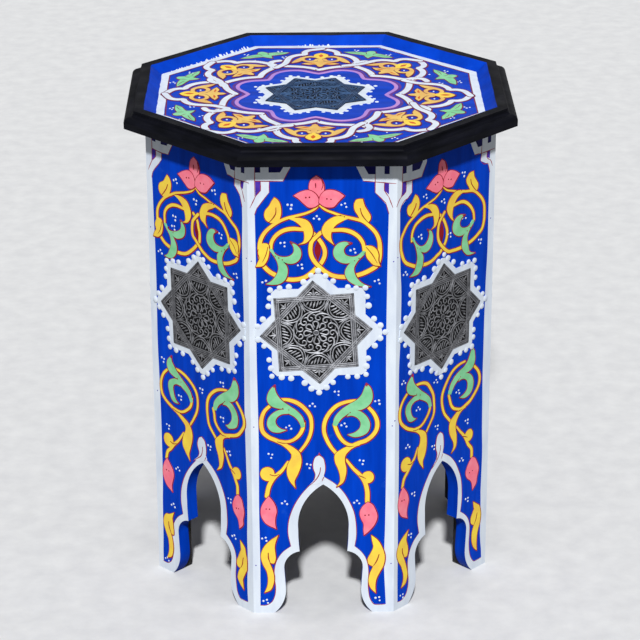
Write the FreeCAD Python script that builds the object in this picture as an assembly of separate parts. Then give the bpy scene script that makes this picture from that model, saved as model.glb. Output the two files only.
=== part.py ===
import FreeCAD, Part
import math
import os

from FreeCAD import Vector

# Painted octagonal side table. Millimetres, +Z up, origin at the middle of the
# footprint on the floor, with one side panel facing -Y.

# Carcass of mitred side panels
side_count = 8
body_apothem = 176.5
panel_height = 502.5
panel_thickness = 14.0

# Pointed arch cut through the foot of every side panel
foot_half_gap = 51.0
leg_half_gap = 39.3
leg_z = 30.0
shoulder_half_gap = 40.8
shoulder_z = 52.0
cusp_half_gap = 24.7
cusp_z = 72.5
arch_half_gap = 26.0
arch_widest_z = 98.0
arch_apex_z = 150.0
foot_bow_share = 0.115
shoulder_bow_share = 0.196
jamb_bow_share = 0.015
arch_bow_share = 0.143

# Corner blocks glued inside the mitres, and cleats under the top
block_leg = 20.0
block_depth = 10.0
block_floor_gap = 4.0
cleat_height = 18.0
cleat_width = 16.0
cleat_end_gap = 1.5

# Octagonal top board, over the tops of the side panels
board_overhang = 6.0
board_thickness = 8.5

# Rim moulding, in eight mitred lengths around the board
rim_overhang = 21.0
rim_height = 17.5
rim_edge_height = 6.9
rim_slope_width = 10.2
rim_top_width = 10.5
rim_bevel_width = 10.5
rim_fillet_drop = 3.0
rim_step = 0.9
rim_cove_width = 2.2
rim_cove_drop = 2.7
cove_bow_share = 0.18
ovolo_bow_share = 0.14
rim_board_gap = 0.3

# Pressed metal stars, one on each side panel and one on the top board
star_radius = 56.0
star_height = 317.5
plate_thickness = 0.8
strap_width = 5.0
relief_height = 0.7
rosette_radius = 21.0
rosette_rim_width = 2.4
petal_circle_radius = 10.5
petal_radius = 3.4
petal_count = 10
boss_radius = 4.2

# Hand-set places of the stars: across and up as shares of the star's radius, then the
# tilt in degrees and the size as a share, for the side panels from the front one to the right
star_shift_shares = (
    (-0.115, 0.043),
    (-0.073, -0.043),
    (0.027, -0.018),
    (-0.018, 0.018),
    (0.036, 0.0),
    (0.009, -0.027),
    (-0.036, 0.018),
    (0.043, 0.004),
)
star_tilts = (3.6, -0.5, -1.0, 0.5, -1.0, 1.0, 0.0, 1.2)
star_size_shares = (1.01, 1.045, 1.02, 1.04, 1.02, 1.03, 1.03, 1.057)
top_star_shift_share = (-0.079, -0.036)
top_star_tilt = 22.5

# Pins that hold the stars
pin_inset = 11.0
pin_head_radius = 0.9
pin_head_height = 0.5
pin_shank_radius = 0.5
pin_embed = 5.0

# Brads across the mitres of the carcass, set flush in the panels
brad_heights = (57.0, 216.0, 396.0)
brad_edge = 3.0
brad_head_radius = 1.2
brad_head_height = 0.6
brad_shank_radius = 0.7
brad_cover = 2.0

# Brads through the rim into the edge of the board, set flush
rim_brad_spacing = 90.0
rim_brad_embed = 10.0

# Countersunk screws up through the cleats into the board
screw_spacing = 60.0
screw_head_radius = 3.4
screw_head_height = 2.2
screw_shank_radius = 1.75
screw_embed = 5.0

# Room between a fastener and its hole, and overrun of the cutting tools
hole_gap = 0.05
overrun = 2.0

half_turn = 180.0
step_angle = 2 * half_turn / side_count
half_step = math.radians(step_angle / 2)
panel_half_width = body_apothem * math.tan(half_step)
inner_apothem = body_apothem - panel_thickness
inner_half_width = inner_apothem * math.tan(half_step)
board_apothem = body_apothem + board_overhang
rim_apothem = body_apothem + rim_overhang
board_top_z = panel_height + board_thickness
table_height = panel_height + rim_height

places = (
    "front",
    "front_right",
    "right",
    "rear_right",
    "rear",
    "rear_left",
    "left",
    "front_left",
)

across = Vector(1, 0, 0)
inward = Vector(0, 1, 0)
outward = Vector(0, -1, 0)
up = Vector(0, 0, 1)
origin = Vector(0, 0, 0)


def turned(shape, degrees, axis=up, about=origin):
    copy = shape.copy()
    copy.rotate(about, axis, degrees)
    return copy


def moved(shape, offset):
    copy = shape.copy()
    copy.translate(offset)
    return copy


def bowed_edge(start, end, bow_share):
    """Arc from start to end that swells to the right of its chord."""
    chord = end - start
    side = chord.cross(outward)
    side.normalize()
    middle = (start + end) * 0.5 + side * (chord.Length * bow_share)
    return Part.Arc(start, middle, end).toShape()


def prism(points, direction):
    wire = Part.makePolygon(points + [points[0]])
    return Part.Face(wire).extrude(direction)


def one_solid(shape):
    """The single solid of a shape, without split faces."""
    return shape.removeSplitter().Solids[0]


def fuse_all(shapes):
    return shapes[0].multiFuse(shapes[1:])


def ring_at(radius, turn_degrees, z):
    """Point at a radius from the table's axis, counted from the front."""
    angle = math.radians(turn_degrees) - math.pi / 2
    return Vector(radius * math.cos(angle), radius * math.sin(angle), z)


# Arch


def arch_half(sign):
    """Edges of one half of the arch from the floor up to its point."""
    y = -body_apothem - overrun
    foot = Vector(sign * foot_half_gap, y, 0)
    leg = Vector(sign * leg_half_gap, y, leg_z)
    shoulder = Vector(sign * shoulder_half_gap, y, shoulder_z)
    cusp = Vector(sign * cusp_half_gap, y, cusp_z)
    jamb = Vector(sign * arch_half_gap, y, arch_widest_z)
    apex = Vector(0, y, arch_apex_z)
    return [
        bowed_edge(foot, leg, -sign * foot_bow_share),
        Part.makeLine(leg, shoulder),
        bowed_edge(shoulder, cusp, sign * shoulder_bow_share),
        bowed_edge(cusp, jamb, sign * jamb_bow_share),
        bowed_edge(jamb, apex, sign * arch_bow_share),
    ]


def arch_tool():
    """Solid of the arched opening, through the front panel."""
    y = -body_apothem - overrun
    below = -overrun
    right_foot = Vector(foot_half_gap, y, 0)
    left_foot = Vector(-foot_half_gap, y, 0)
    right_low = Vector(foot_half_gap, y, below)
    left_low = Vector(-foot_half_gap, y, below)
    sill = [
        Part.makeLine(right_foot, right_low),
        Part.makeLine(right_low, left_low),
        Part.makeLine(left_low, left_foot),
    ]
    edges = arch_half(1) + arch_half(-1) + sill
    wire = Part.Wire(Part.__sortEdges__(edges))
    return Part.Face(wire).extrude(inward * (panel_thickness + 2 * overrun))


# Fasteners


def headed_nail(head_radius, head_height, shank_radius, length, gap=0.0):
    """Nail along +Y with the top of its head at the origin."""
    head = Part.makeCylinder(head_radius + gap, head_height, origin, inward)
    shank = Part.makeCylinder(shank_radius + gap, length, origin, inward)
    return head.fuse(shank)


def brad_length():
    """Reach across the mitre that stops short of the neighbour's inner face."""
    turn = math.radians(step_angle)
    start = (panel_half_width - brad_edge) * math.sin(turn) + body_apothem * math.cos(turn)
    return (start - inner_apothem) / math.cos(turn) - brad_cover


def mitre_brads(sign, gap=0.0):
    """Brads driven through the front panel by its right (1) or left (-1) mitre."""
    first = 0 if sign > 0 else 1
    nail = headed_nail(
        brad_head_radius, brad_head_height, brad_shank_radius, brad_length(), gap
    )
    x = sign * (panel_half_width - brad_edge)
    return [
        moved(nail, Vector(x, -body_apothem, height))
        for height in brad_heights[first::2]
    ]


def rim_brads(gap=0.0):
    """Brads through the front length of rim, into the edge of the board."""
    length = rim_apothem - board_apothem + rim_brad_embed
    nail = headed_nail(brad_head_radius, brad_head_height, brad_shank_radius, length, gap)
    z = panel_height + rim_edge_height / 2
    return [
        moved(nail, Vector(sign * rim_brad_spacing / 2, -rim_apothem, z))
        for sign in (-1, 1)
    ]


def cleat_screws(gap=0.0):
    """Screws up through the front cleat, with their heads flush under it."""
    head = Part.makeCone(
        screw_head_radius + gap, screw_shank_radius + gap, screw_head_height
    )
    shank = Part.makeCylinder(screw_shank_radius + gap, cleat_height + screw_embed)
    screw = head.fuse(shank)
    y = -inner_apothem + cleat_width / 2
    z = panel_height - cleat_height
    return [
        moved(screw, Vector(sign * screw_spacing / 2, y, z))
        for sign in (-1, 1)
    ]


# Stars, made flat around the origin with their backs on the XZ plane, facing -Y


def star_face_points(radius):
    """Corners of the star that two crossed squares make."""
    notch = radius * math.cos(math.pi / 4) / math.cos(math.pi / 8)
    points = []
    for index in range(16):
        reach = radius if index % 2 == 0 else notch
        angle = index * math.pi / 8
        points.append(Vector(reach * math.sin(angle), 0, reach * math.cos(angle)))
    return points


def square_frame(radius, degrees):
    """Raised strap along the edge of one of the two squares of a star."""
    base = outward * plate_thickness
    inside = radius - strap_width * math.sqrt(2)
    depth = outward * relief_height
    corners = [math.pi / 2 * index for index in range(4)]
    outer = [Vector(radius * math.sin(a), 0, radius * math.cos(a)) for a in corners]
    inner = [Vector(inside * math.sin(a), 0, inside * math.cos(a)) for a in corners]
    frame = prism(outer, depth).cut(prism(inner, depth))
    return turned(moved(frame, base), degrees, outward)


def rosette():
    """Rim ring, petals and boss of the flower in the middle of a star."""
    base = outward * plate_thickness
    ring = Part.makeCylinder(rosette_radius, relief_height, base, outward)
    hollow = Part.makeCylinder(rosette_radius - rosette_rim_width, relief_height, base, outward)
    pieces = [ring.cut(hollow)]
    for index in range(petal_count):
        angle = 2 * math.pi * index / petal_count
        spot = Vector(
            petal_circle_radius * math.sin(angle), 0, petal_circle_radius * math.cos(angle)
        )
        pieces.append(Part.makeCylinder(petal_radius, relief_height, base + spot, outward))
    pieces.append(Part.makeCylinder(boss_radius, relief_height, base, outward))
    return pieces


def pin_spots(radius):
    reach = radius - pin_inset
    angles = [2 * math.pi * index / 8 for index in range(8)]
    return [Vector(reach * math.sin(a), 0, reach * math.cos(a)) for a in angles]


def star_pins(radius, gap=0.0):
    """Pins of a star of this radius, with their heads on its plate."""
    length = pin_head_height + plate_thickness + pin_embed
    nail = headed_nail(pin_head_radius, pin_head_height, pin_shank_radius, length, gap)
    rise = outward * (plate_thickness + pin_head_height)
    return [moved(nail, spot + rise) for spot in pin_spots(radius)]


def pin_holes(radius):
    """Holes for the shanks alone, through the plate and into the wood."""
    shank = Part.makeCylinder(
        pin_shank_radius + hole_gap, plate_thickness + pin_embed + hole_gap, origin, inward
    )
    rise = outward * plate_thickness
    return [moved(shank, spot + rise) for spot in pin_spots(radius)]


def star_plate(radius):
    plate = prism(star_face_points(radius), outward * plate_thickness)
    parts = [plate, square_frame(radius, 0), square_frame(radius, 45)] + rosette()
    return one_solid(fuse_all(parts).cut(pin_holes(radius)))


def panel_star_radius(index):
    return star_radius * star_size_shares[index]


def on_panel(shape, index):
    """Put a flat star shape on the side panel with this number."""
    across_share, up_share = star_shift_shares[index]
    tilted = turned(shape, star_tilts[index], outward)
    spot = Vector(
        across_share * star_radius, -body_apothem, star_height + up_share * star_radius
    )
    return turned(moved(tilted, spot), index * step_angle)


def on_board(shape):
    """Lay a flat star shape on the top board, facing up."""
    across_share, along_share = top_star_shift_share
    tilted = turned(shape, top_star_tilt, outward)
    laid = turned(tilted, -90, across)
    spot = Vector(across_share * star_radius, along_share * star_radius, board_top_z)
    return moved(laid, spot)


# Wooden pieces


def plain_panel():
    """Front side panel with mitred edges and its arch."""
    outer_y = -body_apothem
    inner_y = -inner_apothem
    plan = [
        Vector(-panel_half_width, outer_y, 0),
        Vector(panel_half_width, outer_y, 0),
        Vector(inner_half_width, inner_y, 0),
        Vector(-inner_half_width, inner_y, 0),
    ]
    return prism(plan, up * panel_height).cut(arch_tool())


def panel_mitre_holes():
    """Holes for the panel's own brads and for those of its two neighbours."""
    right = mitre_brads(1, hole_gap)
    left = mitre_brads(-1, hole_gap)
    from_right = [turned(nail, step_angle) for nail in left]
    from_left = [turned(nail, -step_angle) for nail in right]
    return right + left + from_right + from_left


def side_panel(index, blank):
    holes = [on_panel(hole, index) for hole in pin_holes(panel_star_radius(index))]
    return one_solid(turned(blank, index * step_angle).cut(holes))


def corner_block(index):
    """Block in the inside corner to the right of the panel with this number."""
    corner = Vector(inner_half_width, -inner_apothem, 0)
    along_front = corner - across * block_leg
    chamfer_front = along_front + inward * block_depth
    turn = FreeCAD.Rotation(up, step_angle)
    mirror_corner = Vector(-inner_half_width, -inner_apothem, 0)
    along_side = turn.multVec(mirror_corner + across * block_leg)
    chamfer_side = turn.multVec(mirror_corner + across * block_leg + inward * block_depth)
    plan = [corner, along_front, chamfer_front, chamfer_side, along_side]
    block = prism(plan, up * (panel_height - block_floor_gap))
    raised = moved(block, up * block_floor_gap)
    return turned(raised, index * step_angle)


def cleat(index):
    """Cleat along the inside top edge of the panel with this number."""
    half_length = inner_half_width - block_leg - cleat_end_gap
    block = Part.makeBox(
        2 * half_length,
        cleat_width,
        cleat_height,
        Vector(-half_length, -inner_apothem, panel_height - cleat_height),
    )
    return turned(one_solid(block.cut(cleat_screws(hole_gap))), index * step_angle)


def top_board():
    reach = board_apothem / math.cos(half_step)
    plan = [
        ring_at(reach, (index + 0.5) * step_angle, panel_height)
        for index in range(side_count)
    ]
    board = prism(plan, up * board_thickness)
    holes = [on_board(hole) for hole in pin_holes(star_radius)]
    for index in range(side_count):
        for tool in cleat_screws(hole_gap) + rim_brads(hole_gap):
            holes.append(turned(tool, index * step_angle))
    return one_solid(board.cut(holes))


def rim_profile():
    """Section of the rim on the YZ plane at the front, outside first."""

    def at(apothem, z):
        return Vector(0, -apothem, z)

    bottom = panel_height
    top = table_height
    edge_top = bottom + rim_edge_height
    flat_outer = rim_apothem - rim_slope_width
    flat_inner = flat_outer - rim_top_width
    bevel_foot = flat_inner - rim_bevel_width
    rabbet = board_apothem + rim_board_gap
    fillet_z = top - rim_fillet_drop
    cove_start = at(flat_outer + rim_step, fillet_z)
    cove_end = at(flat_outer + rim_step + rim_cove_width, fillet_z - rim_cove_drop)
    ovolo_start = at(flat_outer + 2 * rim_step + rim_cove_width, fillet_z - rim_cove_drop)
    ovolo_end = at(rim_apothem, edge_top)
    lines = [
        (at(rim_apothem, bottom), ovolo_end),
        (ovolo_start, cove_end),
        (cove_start, at(flat_outer, fillet_z)),
        (at(flat_outer, fillet_z), at(flat_outer, top)),
        (at(flat_outer, top), at(flat_inner, top)),
        (at(flat_inner, top), at(bevel_foot, board_top_z)),
        (at(bevel_foot, board_top_z), at(rabbet, board_top_z)),
        (at(rabbet, board_top_z), at(rabbet, bottom)),
        (at(rabbet, bottom), at(rim_apothem, bottom)),
    ]
    edges = [Part.makeLine(start, end) for start, end in lines]
    edges.append(profile_bow(ovolo_end, ovolo_start, ovolo_bow_share))
    edges.append(profile_bow(cove_end, cove_start, -cove_bow_share))
    return Part.Face(Part.Wire(Part.__sortEdges__(edges)))


def profile_bow(start, end, bow_share):
    """Arc in the rim's section; a positive bow swells outwards and up."""
    chord = end - start
    side = chord.cross(across)
    side.normalize()
    if side.z < 0:
        side = -side
    middle = (start + end) * 0.5 + side * (chord.Length * bow_share)
    return Part.Arc(start, middle, end).toShape()


def mitre_wedge():
    """Sector of one side, from the table's axis to past the rim."""
    reach = rim_apothem + overrun
    half_width = reach * math.tan(half_step)
    plan = [
        origin,
        Vector(half_width, -reach, 0),
        Vector(-half_width, -reach, 0),
    ]
    return prism(plan, up * (table_height + overrun))


def plain_rim():
    """Front length of rim with its mitres and brad holes."""
    half_length = rim_apothem * math.tan(half_step) + overrun
    bar = moved(rim_profile(), -across * half_length).extrude(across * (2 * half_length))
    return one_solid(bar.common(mitre_wedge()).cut(rim_brads(hole_gap)))


# Files


def save(shape, node):
    shape.exportStep(os.path.join("parts", node + ".step"))


def save_group(shapes, node):
    save(Part.makeCompound(shapes), node)


def around(shapes):
    """Copies of the front panel's fasteners at every side."""
    return [turned(shape, index * step_angle) for index in range(side_count) for shape in shapes]


def main():
    os.makedirs("parts", exist_ok=True)
    panel_blank = plain_panel().cut(panel_mitre_holes())
    rim_blank = plain_rim()
    panel_pins = []
    for index, place in enumerate(places):
        radius = panel_star_radius(index)
        save(side_panel(index, panel_blank), "side_panel_" + place)
        save(corner_block(index), "corner_block_" + str(index + 1))
        save(cleat(index), "top_cleat_" + place)
        save(turned(rim_blank, index * step_angle), "rim_moulding_" + place)
        save(on_panel(star_plate(radius), index), "star_plate_" + place)
        panel_pins += [on_panel(pin, index) for pin in star_pins(radius)]
    save(top_board(), "top_board")
    save(on_board(star_plate(star_radius)), "star_plate_top")
    save_group(panel_pins, "side_star_pins")
    save_group([on_board(pin) for pin in star_pins(star_radius)], "top_star_pins")
    save_group(around(mitre_brads(1) + mitre_brads(-1)), "mitre_brads")
    save_group(around(rim_brads()), "rim_brads")
    save_group(around(cleat_screws()), "cleat_screws")


main()
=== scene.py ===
import math
import random

import bmesh
import bpy
from mathutils import Matrix, Vector
from mathutils.geometry import tessellate_polygon


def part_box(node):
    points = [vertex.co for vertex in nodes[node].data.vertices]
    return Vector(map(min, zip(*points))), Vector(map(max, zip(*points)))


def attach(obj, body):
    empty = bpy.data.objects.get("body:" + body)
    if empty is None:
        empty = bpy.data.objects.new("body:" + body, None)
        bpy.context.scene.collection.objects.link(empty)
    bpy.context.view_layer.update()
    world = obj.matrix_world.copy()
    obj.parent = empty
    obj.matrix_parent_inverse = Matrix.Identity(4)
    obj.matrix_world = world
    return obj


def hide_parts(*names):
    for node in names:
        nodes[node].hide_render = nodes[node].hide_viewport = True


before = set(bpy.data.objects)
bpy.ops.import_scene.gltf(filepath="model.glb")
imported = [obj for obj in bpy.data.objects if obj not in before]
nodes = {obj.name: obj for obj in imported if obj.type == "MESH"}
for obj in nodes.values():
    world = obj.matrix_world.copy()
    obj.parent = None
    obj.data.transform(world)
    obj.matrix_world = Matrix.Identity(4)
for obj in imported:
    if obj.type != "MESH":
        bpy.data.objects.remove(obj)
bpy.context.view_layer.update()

# Units: the scene is in metres, and painted shapes are drawn in millimetres on their face.
MM = 0.001

# Sizes read from the frame.
SIDES = ["front", "front_right", "right", "rear_right", "rear", "rear_left", "left", "front_left"]
TURN = 2 * math.pi / len(SIDES)
HALF_TURN = TURN / 2
body_apothem = -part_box("side_panel_front")[0].y / MM
board_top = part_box("top_board")[1].z / MM
face_half_width = body_apothem * math.tan(HALF_TURN)
X_AXIS, Y_AXIS, Z_AXIS = Vector((1, 0, 0)), Vector((0, 1, 0)), Vector((0, 0, 1))
ROOT_HALF = math.sqrt(0.5)


def side_axes(turn):
    """Two directions of a side face: across it, and out from the wood."""
    return Vector((math.cos(turn), math.sin(turn), 0)), Vector((math.sin(turn), -math.cos(turn), 0))


def star_frame(node, across, up):
    """Centre, radius and tilt of a star plate in its plane, read from its box and its farthest corner."""
    low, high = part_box(node)
    middle = (low + high) / 2 / MM
    centre = (middle.dot(across), middle.dot(up))
    corners = [(v.co.dot(across) / MM, v.co.dot(up) / MM) for v in nodes[node].data.vertices]
    tip = max(corners, key=lambda corner: math.dist(corner, centre))
    tilt = math.atan2(tip[1] - centre[1], tip[0] - centre[0]) % TURN
    return centre, math.dist(tip, centre), tilt if tilt < HALF_TURN else tilt - TURN


star_radius = star_frame("star_plate_top", X_AXIS, Y_AXIS)[1]
star_apothem = star_radius * ROOT_HALF

# How thick paint lies on the wood. A layer covers the ones with a lower number: 0 is the white ground,
# 1 to 6 the ornament and its fine lines.
paint_root = -0.05
layer_pitch = 0.12
line_rise = 0.03
colour_rise = 0.07
crown_rise = 0.03
mark_crown = 0.01
shape_lift = 0.002
lifts_in_turn = 12

# The brush: width of the line beside a colour and how far it slips to the lower right, the spacing of
# points along curves, the thinnest half of a stroke, and the angles of the points round its ends.
outline_width = 0.9
outline_slip = (0.25, -0.25)
curve_step = 2.0
thinnest_half = 0.04
end_angles = [math.radians(degrees) for degrees in (35, 65, 85)]
mark_shares = (0.7, 1.0, 0.4)
dot_sizes = (0.85, 1.12)
small_dome_sides = 9
large_dome_sides = 14
large_dome = 2
dome_shoulder = (0.72, 0.7)
sharp_angle = math.radians(40)

# The distance within which a slip of the hand holds, before its neighbours blend in, and the waver of the
# hand: a long and a short wave across, then up, with the share of the short ones.
slip_blend = 7.0
waver_lengths = (31, 17, 27, 19)
waver_share = 0.6


def linear(red, green, blue):
    """A colour given as 0 to 255 display values, as linear light with alpha."""
    def one(value):
        share = value / 255
        return share / 12.92 if share <= 0.04045 else ((share + 0.055) / 1.055) ** 2.4
    return (one(red), one(green), one(blue), 1.0)


# Materials. Noise lies mostly between the two values in noise_span.

paint_gloss = 0.04
rim_gloss = 0.07
noise_span = (0.3, 0.7)


def new_material(name):
    material = bpy.data.materials.new(name)
    material.use_nodes = True
    tree = material.node_tree
    return material, tree, tree.nodes["Principled BSDF"]


def add(tree, kind, **settings):
    """A new shader node with its settings and inputs set by name."""
    node = tree.nodes.new(kind)
    for key, value in settings.items():
        if key in node.inputs:
            node.inputs[key].default_value = value
        else:
            setattr(node, key, value)
    return node


def noise(tree, scale, stretch=(1, 1, 1), detail=4.0, rough=0.55):
    """Noise in object space, scale in features per metre, stretched per axis."""
    where = add(tree, "ShaderNodeTexCoord")
    mapping = add(tree, "ShaderNodeMapping", Scale=stretch)
    made = add(tree, "ShaderNodeTexNoise", Scale=scale, Detail=detail, Roughness=rough)
    tree.links.new(where.outputs["Object"], mapping.inputs["Vector"])
    tree.links.new(mapping.outputs["Vector"], made.inputs["Vector"])
    return made.outputs["Fac"]


def two_tones(tree, value, deep, bright, span=noise_span):
    """The deep colour where a value is below the span, the bright one above it, blended in between."""
    made = add(tree, "ShaderNodeValToRGB")
    for element, position, colour in zip(made.color_ramp.elements, span, (deep, bright)):
        element.position = position
        element.color = colour
    tree.links.new(value, made.inputs["Fac"])
    return made.outputs["Color"]


def ranged(tree, value, low_in, high_in, low_out, high_out):
    made = add(tree, "ShaderNodeMapRange")
    limits = (low_in, high_in, low_out, high_out)
    for key, number in zip(("From Min", "From Max", "To Min", "To Max"), limits):
        made.inputs[key].default_value = number
    tree.links.new(value, made.inputs["Value"])
    return made.outputs["Result"]


def mixed(tree, share, first, second):
    """Mixes two colours, each a colour value or a socket."""
    made = add(tree, "ShaderNodeMix", data_type="RGBA")
    tree.links.new(share, made.inputs["Factor"])
    for socket, colour in ((made.inputs[6], first), (made.inputs[7], second)):
        if isinstance(colour, tuple):
            socket.default_value = colour
        else:
            tree.links.new(colour, socket)
    return made.outputs[2]


def maths(tree, operation, *values):
    made = add(tree, "ShaderNodeMath", operation=operation)
    for socket, value in zip(made.inputs, values):
        if isinstance(value, (int, float)):
            socket.default_value = value
        else:
            tree.links.new(value, socket)
    return made.outputs[0]


def bumped(tree, shader, height, strength, distance):
    made = add(tree, "ShaderNodeBump", Strength=strength, Distance=distance)
    tree.links.new(height, made.inputs["Height"])
    tree.links.new(made.outputs["Normal"], shader.inputs["Normal"])


def uneven(tree, scale, low, high, detail=4.0):
    """Roughness that wanders between two values."""
    return ranged(tree, noise(tree, scale, detail=detail), *noise_span, low, high)


def coat(tree, shader, colour, roughness, gloss):
    tree.links.new(colour, shader.inputs["Base Color"])
    tree.links.new(roughness, shader.inputs["Roughness"])
    shader.inputs["Specular IOR Level"].default_value = gloss


def paint(name, deep, bright, roughness, streak=(1, 1, 1), scale=90):
    """Brushed paint between two close display colours, with a fine uneven surface."""
    material, tree, shader = new_material(name)
    colour = two_tones(tree, noise(tree, scale, streak), linear(*deep), linear(*bright))
    coat(tree, shader, colour, uneven(tree, 35, roughness - 0.08, roughness + 0.1), paint_gloss)
    bumped(tree, shader, noise(tree, 700, streak), 0.12, 0.0003)
    return material


def surface(tree, kind):
    """The position or the normal of a point of a surface, as kind says, split into X, Y and Z."""
    geometry = add(tree, "ShaderNodeNewGeometry")
    split = add(tree, "ShaderNodeSeparateXYZ")
    tree.links.new(geometry.outputs[kind], split.inputs[0])
    return split.outputs


def radial_facing(tree):
    """How far a surface faces away from the upright axis: 1 outward, -1 inward."""
    geometry = add(tree, "ShaderNodeNewGeometry")
    flat = add(tree, "ShaderNodeVectorMath", operation="MULTIPLY")
    flat.inputs[1].default_value = (1, 1, 0)
    unit = add(tree, "ShaderNodeVectorMath", operation="NORMALIZE")
    dot = add(tree, "ShaderNodeVectorMath", operation="DOT_PRODUCT")
    tree.links.new(geometry.outputs["Position"], flat.inputs[0])
    tree.links.new(flat.outputs[0], unit.inputs[0])
    tree.links.new(unit.outputs[0], dot.inputs[0])
    tree.links.new(geometry.outputs["Normal"], dot.inputs[1])
    return dot.outputs["Value"]


def octagon_distance(tree):
    """Distance from the upright axis to the octagon through a point, with flats on the axes."""
    place = surface(tree, "Position")
    across, along_y = maths(tree, "ABSOLUTE", place["X"]), maths(tree, "ABSOLUTE", place["Y"])
    straight = maths(tree, "MAXIMUM", across, along_y)
    slanted = maths(tree, "MULTIPLY", maths(tree, "ADD", across, along_y), ROOT_HALF)
    return maths(tree, "MAXIMUM", straight, slanted)


# Where the blue of the board ends on the rim, in millimetres from the middle of the board.
blue_limit = 177.0
blue_wander = 4
blue_blur = 0.3
BLUE_DEEP = linear(0, 54, 174)
BLUE_BRIGHT = linear(1, 69, 206)
BLUE_WORN = linear(40, 96, 205)
BARE_DARK = linear(12, 10, 9)
BARE_BROWN = linear(30, 23, 19)


def blue_colour(tree, streak):
    """Blue paint with long soft brush marks and a few thin places."""
    base = two_tones(tree, noise(tree, 16, streak, detail=5), BLUE_DEEP, BLUE_BRIGHT, (0.32, 0.68))
    thin = ranged(tree, noise(tree, 60, detail=6), 0.66, 0.74, 0.0, 0.35)
    return mixed(tree, thin, base, BLUE_WORN)


def panel_paint():
    """The side boards: blue outside and in the cut edges, very dark wood inside."""
    material, tree, shader = new_material("blue_panel_paint")
    outside = blue_colour(tree, (6, 6, 0.6))
    grain = noise(tree, 30, (5, 5, 0.4), detail=6)
    inside = two_tones(tree, grain, BARE_DARK, BARE_BROWN, (0.35, 0.65))
    facing = ranged(tree, radial_facing(tree), -0.75, -0.55, 0.0, 1.0)
    rough = mixed(tree, facing, (0.85, 0.85, 0.85, 1.0), uneven(tree, 25, 0.42, 0.58))
    coat(tree, shader, mixed(tree, facing, inside, outside), rough, paint_gloss)
    bumped(tree, shader, noise(tree, 260, (3, 3, 0.25)), 0.2, 0.0004)
    return material


def board_paint():
    """The table board: blue on top, dark wood below."""
    material, tree, shader = new_material("blue_board_paint")
    upper = ranged(tree, surface(tree, "Normal")["Z"], 0.2, 0.6, 0.0, 1.0)
    colour = mixed(tree, upper, BARE_BROWN, blue_colour(tree, (0.8, 5, 1)))
    coat(tree, shader, colour, uneven(tree, 25, 0.45, 0.6), paint_gloss)
    bumped(tree, shader, noise(tree, 260, (0.4, 3, 1)), 0.2, 0.0004)
    return material


def rim_paint():
    """The rim: black satin paint, rubbed a little, with the blue of the board on its inner bevel."""
    material, tree, shader = new_material("black_rim_paint")
    grain = noise(tree, 22, (1.5, 1.5, 9), detail=6)
    black = two_tones(tree, grain, linear(5, 6, 11), linear(16, 17, 26), (0.35, 0.7))
    rubbed = ranged(tree, noise(tree, 130, detail=7, rough=0.7), 0.66, 0.78, 0.0, 0.35)
    black = mixed(tree, rubbed, black, linear(44, 42, 46))
    wobble = maths(tree, "MULTIPLY", maths(tree, "SUBTRACT", noise(tree, 18), 0.5), blue_wander * MM)
    distance = maths(tree, "ADD", octagon_distance(tree), wobble)
    near, far = (blue_limit - blue_blur) * MM, (blue_limit + blue_blur) * MM
    inner = ranged(tree, distance, near, far, 1.0, 0.0)
    upward = ranged(tree, surface(tree, "Normal")["Z"], 0.2, 0.3, 0.0, 1.0)
    colour = mixed(tree, maths(tree, "MULTIPLY", inner, upward), black, blue_colour(tree, (2, 2, 2)))
    coat(tree, shader, colour, uneven(tree, 40, 0.55, 0.75, detail=6), rim_gloss)
    bumped(tree, shader, noise(tree, 300, (0.6, 0.6, 3)), 0.25, 0.0004)
    return material


def bare_wood():
    material, tree, shader = new_material("dark_inner_wood")
    grain = noise(tree, 40, (4, 4, 0.5), detail=7)
    tree.links.new(two_tones(tree, grain, BARE_DARK, BARE_BROWN), shader.inputs["Base Color"])
    shader.inputs["Roughness"].default_value = 0.8
    bumped(tree, shader, grain, 0.3, 0.0006)
    return material


def metal(name, deep, bright, rough_low, rough_high, metallic):
    """Metal that is worn unevenly between two display colours."""
    material, tree, shader = new_material(name)
    spots = noise(tree, 160, detail=6, rough=0.65)
    wear = two_tones(tree, spots, linear(*deep), linear(*bright), (0.32, 0.68))
    tree.links.new(wear, shader.inputs["Base Color"])
    tree.links.new(uneven(tree, 320, rough_low, rough_high), shader.inputs["Roughness"])
    shader.inputs["Metallic"].default_value = metallic
    bumped(tree, shader, noise(tree, 900), 0.25, 0.0003)
    return material


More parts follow.
